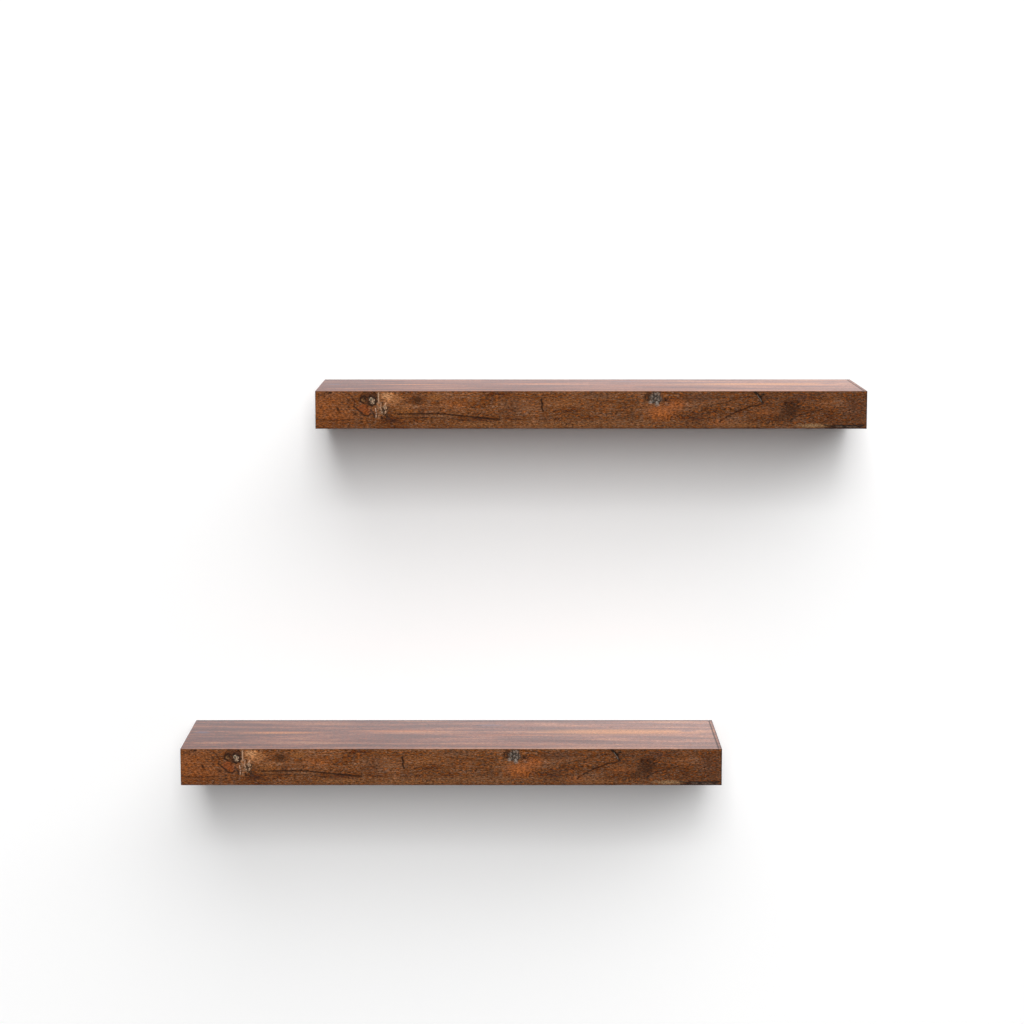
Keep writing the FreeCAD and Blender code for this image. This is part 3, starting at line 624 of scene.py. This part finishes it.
# %% Powder coat
ORANGE_PEEL = 0.9  # bumps to a millimetre

powder_coat, tree, shader = new_material("black_powder_coated_steel", Roughness=0.5)
place = millimetres(tree)
peel = add(tree, "TexNoise", place, Scale=ORANGE_PEEL, Detail=2.0)
dust = add(tree, "TexNoise", place, Scale=0.03, Detail=3.0)
shade = ramp(tree, dust, [(0.35, "161618"), (0.65, "212123")])
surface(tree, shader, shade, peel, 0.25, 0.0002, gloss=(peel, 0.15, 0.44, 0.56))


# %% Bare and plated metals
def metal(name, dark_hex, light_hex, rough, cloud_scale, scratch_scale):
    """A metal whose tone drifts in clouds, with fine turning marks round its length that also vary its
    roughness.
    """
    material, tree, shader = new_material(name, Metallic=1.0, Roughness=rough)
    place = millimetres(tree)
    clouds = add(tree, "TexNoise", place, Scale=cloud_scale, Detail=3.0)
    shade = ramp(tree, clouds, [(0.35, dark_hex), (0.65, light_hex)])
    round_it = add(tree, "Mapping", place, Scale=(0.2, scratch_scale, 0.2))
    marks = add(tree, "TexNoise", round_it, Scale=1.0, Detail=2.0)
    surface(tree, shader, shade, marks, 0.15, 0.0001, gloss=(marks, 0.2, rough - 0.08, rough + 0.08))
    return material


zinc_plate = metal("bright_zinc_plated_steel", "b4b6b6", "d2d2cc", 0.3, 0.4, 6.0)
brass = metal("turned_brass", "b98f45", "d3ad62", 0.28, 0.5, 9.0)
black_oxide = metal("black_oxide_steel", "232325", "343437", 0.42, 0.7, 7.0)

# %% Nylon
nylon, tree, shader = new_material("moulded_grey_nylon", Roughness=0.45, Subsurface_Weight=0.15,
                                   Subsurface_Scale=0.002)
place = millimetres(tree)
flow = add(tree, "TexNoise", add(tree, "Mapping", place, Scale=(0.8, 0.12, 0.8)), Scale=1.0, Detail=3.0)
shade = ramp(tree, flow, [(0.35, "a6a8ab"), (0.65, "bdbfc1")])
surface(tree, shader, shade, flow, 0.2, 0.0002, gloss=(flow, 0.15, 0.4, 0.52))

# %% [markdown]
# ## Mesh tools
# The shelf's skin is folded from thin board, and each fold meets its neighbour on a mitre. Such a panel is a
# block with flat cuts, so one tool carves a block at a plane and closes the cut. A second one turns a profile
# about an axis, as a lathe does, for rods, screws and plugs.

# %% Carve, turn and finish
SHARP_ABOVE = 32.0
ON_PLANE = 1e-7
CUTTER_REACH = 0.01  # how far a cutter stands out of what it cuts


def carve(bm, point, away):
    """Cut a convex solid at the plane through point, drop the side that away points to, and close the cut."""
    parts = bm.verts[:] + bm.edges[:] + bm.faces[:]
    cut = bmesh.ops.bisect_plane(bm, geom=parts, dist=ON_PLANE, plane_co=point, plane_no=away, clear_outer=True)
    rim = [part for part in cut["geom_cut"] if isinstance(part, bmesh.types.BMEdge)]
    if rim and all(edge.is_boundary for edge in rim):
        bmesh.ops.edgeloop_fill(bm, edges=rim)


def block(low, high):
    """A bmesh box between two corners."""
    bm = bmesh.new()
    size = Vector(high) - Vector(low)
    place = Matrix.Translation((Vector(low) + Vector(high)) / 2) @ Matrix.Diagonal((*size, 1))
    bmesh.ops.create_cube(bm, size=1, matrix=place)
    return bm


def turned(profile, sides=48, place=Matrix()):
    """A closed bmesh turned about Y from (y, radius) points in millimetres; place then moves it.

    The profile runs from tip to tip on the axis, or back to its first point round a bore.
    """
    bm = bmesh.new()
    rings = []
    bored = profile[0] == profile[-1]
    for y, radius in profile[:-1] if bored else profile:
        count = sides if radius > 0 else 1
        angles = [2 * math.pi * step / count for step in range(count)]
        rings.append([bm.verts.new((radius * math.cos(angle) * MM, y * MM, radius * math.sin(angle) * MM))
                      for angle in angles])
    for first, second in zip(rings, rings[1:] + rings[:bored]):
        for step in range(sides):
            corners = [first[step % len(first)], first[(step + 1) % len(first)],
                       second[(step + 1) % len(second)], second[step % len(second)]]
            bm.faces.new(list(dict.fromkeys(corners)))
    bmesh.ops.recalc_face_normals(bm, faces=bm.faces[:])
    bm.transform(place)
    return bm


def smooth(mesh):
    """Shade the curved faces smooth and keep every edge sharper than the limit."""
    mesh.shade_smooth()
    mesh.set_sharp_from_angle(angle=math.radians(SHARP_ABOVE))


def finished(name, bm, *materials):
    """A mesh object from a bmesh, with its materials."""
    mesh = bpy.data.meshes.new(name)
    bm.to_mesh(mesh)
    bm.free()
    smooth(mesh)
    for material in materials:
        mesh.materials.append(material)
    return new_object(name, mesh)


def made_real(piece):
    """The mesh that a piece's modifiers make of it; the piece is left without them."""
    result = bpy.data.meshes.new_from_object(piece.evaluated_get(bpy.context.evaluated_depsgraph_get()))
    piece.modifiers.clear()
    return result


def subtract(piece, cutter):
    """Cut one object's shape out of another, and drop the cutter."""
    modifier = piece.modifiers.new("cut", "BOOLEAN")
    modifier.operation = "DIFFERENCE"
    modifier.solver = "EXACT"
    modifier.object = cutter
    piece.data = made_real(piece)
    bpy.data.objects.remove(cutter)


def cut_away(bm, cutter):
    """The bmesh that is left when a cutter's shape is taken out of this one."""
    blank = finished("blank", bm)
    subtract(blank, cutter)
    left = bmesh.new()
    left.from_mesh(blank.data)
    bpy.data.objects.remove(blank)
    return left


# %% [markdown]
# ## The folded skin
# The skin is fibreboard 4 mm thick with printed foil on its face. V-grooves let it fold round the front and the
# left end without breaking the foil, so those arrises are rounded by the foil and the print runs on over them.
# The right end is a separate cap. Its 4 mm edge shows on top, with a hairline joint beside it.
# Each panel is carved from a block by its mitres, so no gap can open between neighbours.

# %% Panels
SKIN = 4 * MM
ARRIS_RADIUS = 0.6 * MM
ARRIS_STEPS = (22.5, 45.0, 67.5)
JOINT_EASE = 0.25 * MM
SAME_POINT = 1e-6
FACES_OUT = 0.3  # a face on the skin looks outwards by at least this much of its normal
KEY_HOLE_RADIUS = 3.0
DRILL_REACH = 10.0
DRILL_LEAD = 3.0
# An outer face is (axis, side).
LEFT, RIGHT, FRONT, BOTTOM, TOP = (0, -1), (0, 1), (1, -1), (2, -1), (2, 1)
FOLDED_EDGES = [(FRONT, TOP), (FRONT, BOTTOM), (LEFT, FRONT), (LEFT, TOP), (LEFT, BOTTOM),
                (RIGHT, FRONT), (RIGHT, TOP), (RIGHT, BOTTOM)]
# Each folded panel: its outer face, then the faces that it meets in a mitre.
FOLDED_PANELS = {
    "top_panel": (TOP, FRONT, LEFT), "bottom_panel": (BOTTOM, FRONT, LEFT),
    "front_panel": (FRONT, TOP, BOTTOM, LEFT), "left_end_panel": (LEFT, FRONT, TOP, BOTTOM),
}


def shelf_box(shelf):
    """The lowest and highest corner of one shelf's skin."""
    boxes = [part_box(f"{shelf}_{panel}") for panel in ("left_end_panel", "right_end_cap")]
    low = [min(box[0][axis] for box in boxes) for axis in range(3)]
    high = [max(box[1][axis] for box in boxes) for axis in range(3)]
    return Vector(low), Vector(high)


def outward(face):
    """The direction that an outer face looks in."""
    return Vector([face[1] if axis == face[0] else 0 for axis in range(3)])


def meeting(box, *faces):
    """A point where these outer faces meet, at nought on the other axes."""
    point = Vector((0, 0, 0))
    for axis, side in faces:
        point[axis] = box[1][axis] if side > 0 else box[0][axis]
    return point


def arris_cuts(box, first, second):
    """The planes that round the edge where two outer faces meet."""
    cuts = []
    for angle in ARRIS_STEPS:
        ahead, aside = math.cos(math.radians(angle)), math.sin(math.radians(angle))
        inset = outward(first) * (1 - ahead) + outward(second) * (1 - aside)
        away = outward(first) * ahead + outward(second) * aside
        cuts.append((meeting(box, first, second) - inset * ARRIS_RADIUS, away))
    return cuts


def inner_side(box, face):
    """The plane of a panel's inner side, which drops all that lies deeper."""
    return meeting(box, face) - outward(face) * SKIN, -outward(face)


def mitre(box, keep, drop):
    """The plane at 45 degrees through the edge of two outer faces, which drops the side of the second one."""
    return meeting(box, keep, drop), (outward(drop) - outward(keep)).normalized()


def eased(box, face, way):
    """The plane that eases an outer face's edge at the joint; way is 1 on the panel and -1 on the cap."""
    away = outward(RIGHT) * way + outward(face)
    corner = meeting(box, face, RIGHT) - outward(RIGHT) * SKIN
    return corner - away * math.sqrt(0.5) * JOINT_EASE, away


def wrap_point(place, low, high, face):
    """Where a point of the skin lies on the flat foil, in metres across and up from the middle of the front."""
    middle = (low + high) / 2
    deep = place.y - low.y
    up = place.z - middle.z
    if face == LEFT:
        return low.x - middle.x - deep - (low.x - place.x), up
    if face == RIGHT:
        return high.x - middle.x + deep, up
    across = place.x - middle.x
    return across, up + math.copysign(deep, up) if face in (TOP, BOTTOM) or deep > 0 else up


def lay_foil(bm, low, high):
    """Give each face its material, 0 for foil and 1 for bare board, and map the foil on the outer ones."""
    foil_map = bm.loops.layers.uv.new("foil")
    for face in bm.faces:
        centre, normal = face.calc_center_median(), face.normal
        depths = {LEFT: centre.x - low.x, RIGHT: high.x - centre.x, FRONT: centre.y - low.y,
                  BOTTOM: centre.z - low.z, TOP: high.z - centre.z}
        facing = {side: normal[side[0]] * side[1] for side in depths}
        outer = [side for side in depths if depths[side] < ARRIS_RADIUS and facing[side] > FACES_OUT]
        face.material_index = 0 if outer else 1
        if outer:
            main = max(outer, key=lambda side: facing[side])
            for loop in face.loops:
                loop[foil_map].uv = wrap_point(loop.vert.co, low, high, main)


def make_panels(shelf):
    """The five panels of one shelf, each in the place of its CAD node."""
    box = shelf_box(shelf)
    low, high = box
    all_arrises = [cut for pair in FOLDED_EDGES for cut in arris_cuts(box, *pair)]
    joint, far_side = inner_side(box, RIGHT)
    cuts = {}
    for panel, (face, *neighbours) in FOLDED_PANELS.items():
        cuts[panel] = [inner_side(box, face)] + [mitre(box, face, other) for other in neighbours]
        if face in (TOP, BOTTOM):
            cuts[panel] += [(joint, -far_side), eased(box, face, 1)]
    cuts["right_end_cap"] = [(joint, far_side), eased(box, TOP, -1), eased(box, BOTTOM, -1)]
    for panel, planes in cuts.items():
        node = f"{shelf}_{panel}"
        bm = block(low, high)
        for point, away in planes + all_arrises:
            carve(bm, point, away)
        if panel == "right_end_cap":
            wedge = block(low - Vector((CUTTER_REACH, CUTTER_REACH, 0)), high + Vector((CUTTER_REACH, 0, 0)))
            for point, away in cuts["front_panel"][:3]:
                carve(wedge, point, away)
            bm = cut_away(bm, finished("wedge", wedge))
        if panel == "bottom_panel":
            screw_low, screw_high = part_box(f"{shelf}_locking_screw")
            middle = (Vector(screw_low) + Vector(screw_high)) / 2
            drill = [(0, 0), (0, KEY_HOLE_RADIUS), (DRILL_REACH, KEY_HOLE_RADIUS), (DRILL_REACH, 0)]
            upright = Matrix.Translation((middle.x, middle.y, low.z - DRILL_LEAD * MM))
            upright = upright @ Matrix.Rotation(math.pi / 2, 4, "X")
            bm = cut_away(bm, finished("drill", turned(drill, place=upright)))
        bmesh.ops.remove_doubles(bm, verts=bm.verts[:], dist=SAME_POINT)
        bmesh.ops.recalc_face_normals(bm, faces=bm.faces[:])
        lay_foil(bm, low, high)
        printed = {"top_panel": top_foil_and_painted_light, "front_panel": front_foil}.get(panel, plain_foil)
        piece = finished(node + "_skin", bm, printed, fibreboard)
        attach(piece, f"{shelf}_shelf")
        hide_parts(node)
        print(piece.name, len(piece.data.polygons), "faces")


for shelf in SHELVES:
    make_panels(shelf)

# %% [markdown]
# ## Wall screws
# A countersunk screw is a turned blank with a cross pressed in its head and a rolled thread. Here the blank is
# turned and its cross is cut with a tapered bit. The thread is a helix with a three-sided section, which a
# geometry tree makes. The same tree then sets the screw three times along the plate, as fasteners are set.

# %% Geometry tree helpers
SPIRAL_STEPS = 24
RIDGE_SIDES = 3
SHAPE = {"Geometry": "Geometry"}
ROW = {**SHAPE, "Count": "Int", "Spacing": "Float", "Material": "Material"}


def ridged(tree, path, depth):
    """Nodes that sweep a three-sided ridge along a curve."""
    ridge = add(tree, "GeometryNodeCurvePrimitiveCircle", RIDGE_SIDES, Radius=depth)
    return add(tree, "GeometryNodeCurveToMesh", path, ridge, Fill_Caps=True)


def joined(tree, *shapes):
    """Nodes that join shapes."""
    whole = add(tree, "GeometryNodeJoinGeometry")
    for shape in shapes:
        tree.links.new(shape, whole.inputs[0])
    return whole


def row(tree, given, made, shape):
    """Nodes that join a shape to the given piece, repeat both along X, centred, and give them a material."""
    whole = joined(tree, shape.outputs[0], given["Geometry"])
    last = add(tree, "Math", given["Count"], 1.0, operation="SUBTRACT")
    start = add(tree, "CombineXYZ", product(tree, last, given["Spacing"], -0.5))
    line = add(tree, "GeometryNodeMeshLine", given["Count"], Start_Location=start,
               Offset=add(tree, "CombineXYZ", given["Spacing"]))
    points = add(tree, "GeometryNodeInstanceOnPoints", line, Instance=whole)
    real = add(tree, "GeometryNodeRealizeInstances", points)
    coated = add(tree, "GeometryNodeSetMaterial", real, Material=given["Material"])
    tree.links.new(coated.outputs[0], made[0])


def grow(name, node, piece, tree, from_back=False, **values):
    """Run a tree on a piece with these input values, and keep the row that it makes as a plain mesh.

    The row fills the length of its CAD node's box, from round piece to round piece, and starts at its front or
    its back.
    """
    low, high = (Vector(corner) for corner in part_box(node))
    values["Spacing"] = (high.x - low.x - (high.z - low.z)) / (values["Count"] - 1)
    modifier = piece.modifiers.new("build", "NODES")
    modifier.node_group = tree
    for item in tree.interface.items_tree:
        if item.in_out == "INPUT" and item.name.replace(" ", "_") in values:
            modifier[item.identifier] = values[item.name.replace(" ", "_")]
    result = made_real(piece)
    smooth(result)
    middle = (low + high) / 2
    result.transform(Matrix.Translation((middle.x, high.y if from_back else low.y, middle.z)))
    piece.data = result
    piece.name = result.name = name
    print(name, len(result.polygons), "faces")


# %% Screws
SCREW_HEAD_RADIUS = 4.6
SCREW_HEAD_LAND = 0.9
SCREW_HEAD_BEVEL = (0.12, 0.15)  # along the screw and across it
SCREW_NECK_RADIUS = 2.0
SCREW_NECK_TAPER = 0.4
SCREW_CORE_RADIUS = 1.75
SCREW_LENGTH = 45.0
SCREW_PLAIN_END = 12.0
SCREW_POINT = 4.5
THREAD_LENGTH = SCREW_LENGTH - SCREW_POINT - SCREW_PLAIN_END
THREAD_PITCH = 2.2
THREAD_RIDGE = 0.62
CROSS_WIDTH = 1.05
CROSS_TAPER = 0.7
CROSS_MOUTH = 2.5
CROSS_FOOT = 1.1
CROSS_DEPTH = 2.3
SCREW_COUNT = 3

screw_tree, given, made = new_group("GeometryNodeTree", "screw_row", {
    **ROW, "Turns": "Float", "Thread Length": "Float", "Core Radius": "Float", "Ridge": "Float",
    "Start": "Float"}, SHAPE)
helix = add(screw_tree, "GeometryNodeCurveSpiral", SPIRAL_STEPS, given["Turns"], given["Core Radius"],
            given["Core Radius"], given["Thread Length"])
thread = add(screw_tree, "GeometryNodeTransform", ridged(screw_tree, helix, given["Ridge"]),
             Translation=add(screw_tree, "CombineXYZ", Y=given["Start"]), Rotation=(-math.pi / 2, 0, 0))
row(screw_tree, given, made, thread)


def cross_bit(turn):
    """One tapered arm of the cross that presses the recess, pointing along +Y from the head's face."""
    bm = block((-1, 0, -1), (1, 1, 1))
    for vert in bm.verts:
        deep = vert.co.y > 0.5
        reach = CROSS_FOOT if deep else CROSS_MOUTH
        width = CROSS_WIDTH * (CROSS_TAPER if deep else 1.0)
        vert.co = Vector((reach * vert.co.x, CROSS_DEPTH if deep else -1.0, width / 2 * vert.co.z)) * MM
    bm.transform(Matrix.Rotation(math.radians(turn), 4, "Y"))
    return finished("cross_bit", bm)


def make_screws(shelf):
    """The three screws of one plate, heads flush with its face."""
    node = f"{shelf}_wall_screws"
    head, neck = SCREW_HEAD_RADIUS, SCREW_NECK_RADIUS
    blank = finished("screw_blank", turned([
        (0, 0), (0, head - SCREW_HEAD_BEVEL[1]), (SCREW_HEAD_BEVEL[0], head), (SCREW_HEAD_LAND, head),
        (SCREW_HEAD_LAND + head - neck, neck), (SCREW_PLAIN_END, neck),
        (SCREW_PLAIN_END + SCREW_NECK_TAPER, SCREW_CORE_RADIUS),
        (SCREW_LENGTH - SCREW_POINT, SCREW_CORE_RADIUS), (SCREW_LENGTH, 0)]))
    for turn in (0, 90):
        subtract(blank, cross_bit(turn))
    grow(node + "_cut", node, blank, screw_tree, Turns=THREAD_LENGTH / THREAD_PITCH,
         Thread_Length=THREAD_LENGTH * MM, Core_Radius=SCREW_CORE_RADIUS * MM, Ridge=THREAD_RIDGE * MM,
         Start=SCREW_PLAIN_END * MM, Count=SCREW_COUNT, Material=zinc_plate)
    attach(blank, "wall_brackets")
    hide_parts(node)


for shelf in SHELVES:
    make_screws(shelf)

# %% [markdown]
# ## Wall plugs
# A nylon plug is moulded in two halves that part when the screw drives them open, with rings that bite the
# brick. The body is turned and slotted. A geometry tree makes each ring of two arcs with gaps between them,
# turned a little round from the slot, repeats them along the plug, and repeats the plug along the plate.

# %% Plugs
PLUG_RADIUS = 4.0
PLUG_RIM = 0.8
PLUG_RIM_TAPER = 0.4
PLUG_CORE = 3.35
PLUG_BORE = 2.1
PLUG_LENGTH = 40.0
PLUG_NOSE = 5.0
PLUG_NOSE_TAPER = 1.1
PLUG_SLOT_START = 20.0
PLUG_SLOT = 1.2
RING_PITCH = 2.4
RING_START = 8.0
RING_SWEEP = 150.0
RING_TURN = 0.5  # radians that each arc stands round from the middle of its half
RING_RISE = 0.05
RING_RIDGE = 0.55
RING_COUNT = int((PLUG_LENGTH - PLUG_NOSE - RING_START) / RING_PITCH) + 1
ARC_STEPS = 20

plug_tree, given, made = new_group("GeometryNodeTree", "plug_row", {
    **ROW, "Ring Count": "Int", "Ring Pitch": "Float", "Ring Start": "Float", "Ring Radius": "Float",
    "Ridge": "Float", "Sweep": "Float"}, SHAPE)
arc = add(plug_tree, "GeometryNodeCurveArc", Resolution=ARC_STEPS, Radius=given["Ring Radius"],
          Sweep_Angle=given["Sweep"])
turn = add(plug_tree, "CombineXYZ", Z=summed(plug_tree, (given["Sweep"], -0.5), (1.0, RING_TURN)))
turned_arc = add(plug_tree, "GeometryNodeTransform", ridged(plug_tree, arc, given["Ridge"]), Rotation=turn)
halves = [add(plug_tree, "GeometryNodeTransform", turned_arc, Rotation=(math.pi / 2, side * math.pi / 2, 0))
          for side in (1, -1)]
ring = joined(plug_tree, *[half.outputs[0] for half in halves])
along = add(plug_tree, "GeometryNodeMeshLine", given["Ring Count"],
            Start_Location=add(plug_tree, "CombineXYZ", Y=given["Ring Start"]),
            Offset=add(plug_tree, "CombineXYZ", Y=given["Ring Pitch"]))
rings = add(plug_tree, "GeometryNodeInstanceOnPoints", along, Instance=ring)
row(plug_tree, given, made, rings)


def make_plugs(shelf):
    """The three plugs of one plate, in the wall behind it."""
    node = f"{shelf}_wall_anchors"
    blank = finished("plug_blank", turned([
        (0, PLUG_BORE), (0, PLUG_RADIUS), (PLUG_RIM, PLUG_RADIUS), (PLUG_RIM + PLUG_RIM_TAPER, PLUG_CORE),
        (PLUG_LENGTH - PLUG_NOSE, PLUG_CORE), (PLUG_LENGTH, PLUG_CORE - PLUG_NOSE_TAPER),
        (PLUG_LENGTH, PLUG_BORE), (0, PLUG_BORE)]))
    slot_end = PLUG_LENGTH * MM + CUTTER_REACH
    subtract(blank, finished("saw", block((-CUTTER_REACH, PLUG_SLOT_START * MM, -PLUG_SLOT / 2 * MM),
                                          (CUTTER_REACH, slot_end, PLUG_SLOT / 2 * MM))))
    grow(node + "_moulded", node, blank, plug_tree, Ring_Count=RING_COUNT, Ring_Pitch=RING_PITCH * MM,
         Ring_Start=RING_START * MM, Ring_Radius=(PLUG_CORE + RING_RISE) * MM, Ridge=RING_RIDGE * MM,
         Sweep=math.radians(RING_SWEEP), Count=SCREW_COUNT, Material=nylon)
    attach(blank, "wall_brackets")
    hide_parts(node)


for shelf in SHELVES:
    make_plugs(shelf)

# %% [markdown]
# ## Welded rods
# Two steel rods carry the shelf. A robot welds each one to the plate with a bead laid in overlapping coins, and
# the powder coat goes over both. The rod is turned with a bevelled tip. A geometry tree lays the coins round
# its foot and repeats rod and bead at both places.

# %% Rods
ROD_RADIUS = 6.0
ROD_SIDES = 64
ROD_LENGTH = 112.0
TIP_BEVEL = 1.0
TIP_BEVEL_MIDDLE = (0.3, 0.6)  # from the tip and from the side
ROD_COUNT = 2
COIN_COUNT = 30
COIN_FINENESS = 3
COIN_RADIUS = 1.9
COIN_FLATNESS = (1.0, 0.95, 0.85)
BEAD_RADIUS = 6.55

rod_tree, given, made = new_group("GeometryNodeTree", "rod_pair", {
    **ROW, "Coin Count": "Int", "Coin Radius": "Float", "Bead Radius": "Float"}, SHAPE)
path = add(rod_tree, "GeometryNodeCurvePrimitiveCircle", given["Coin Count"], Radius=given["Bead Radius"])
path = add(rod_tree, "GeometryNodeTransform", path, Rotation=(math.pi / 2, 0, 0))
coin = add(rod_tree, "GeometryNodeMeshIcoSphere", given["Coin Radius"], COIN_FINENESS)
coin = add(rod_tree, "GeometryNodeTransform", coin, Scale=COIN_FLATNESS)
spots = add(rod_tree, "GeometryNodeCurveToPoints", path, given["Coin Count"])
coins = add(rod_tree, "GeometryNodeInstanceOnPoints", spots, Instance=coin, Rotation=spots.outputs["Rotation"])
row(rod_tree, given, made, coins)


def make_rods(shelf):
    """The two rods of one plate, with their weld beads."""
    node = f"{shelf}_support_rods"
    blank = finished("rod_blank", turned([
        (0, 0), (0, ROD_RADIUS), (-ROD_LENGTH + TIP_BEVEL, ROD_RADIUS),
        (-ROD_LENGTH + TIP_BEVEL_MIDDLE[0], ROD_RADIUS - TIP_BEVEL_MIDDLE[1]),
        (-ROD_LENGTH, ROD_RADIUS - TIP_BEVEL), (-ROD_LENGTH, 0)], sides=ROD_SIDES))
    grow(node + "_welded", node, blank, rod_tree, from_back=True, Coin_Count=COIN_COUNT,
         Coin_Radius=COIN_RADIUS * MM, Bead_Radius=BEAD_RADIUS * MM, Count=ROD_COUNT, Material=powder_coat)
    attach(blank, "wall_brackets")
    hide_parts(node)


for shelf in SHELVES:
    make_rods(shelf)

# %% [markdown]
# ## The pieces that keep their CAD shape
# Boards, blocks, honeycomb, insert and set screw are sawn, pressed or turned to plain shapes, and the CAD model
# already holds them. They only need their finishes.

# %% Finishes for the CAD pieces
FINISHES = {
    "front_rail": particle_board, "left_stile": particle_board, "right_stile": particle_board,
    "rear_rail": particle_board, "guide_blocks": particle_board, "honeycomb_core": kraft_paper,
    "threaded_insert": brass, "locking_screw": black_oxide, "wall_plate": powder_coat,
}
for shelf in SHELVES:
    for part, material in FINISHES.items():
        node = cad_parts[f"{shelf}_{part}"]
        for slot in node.material_slots:
            slot.material = material
print(len(SHELVES) * len(FINISHES), "CAD pieces finished")
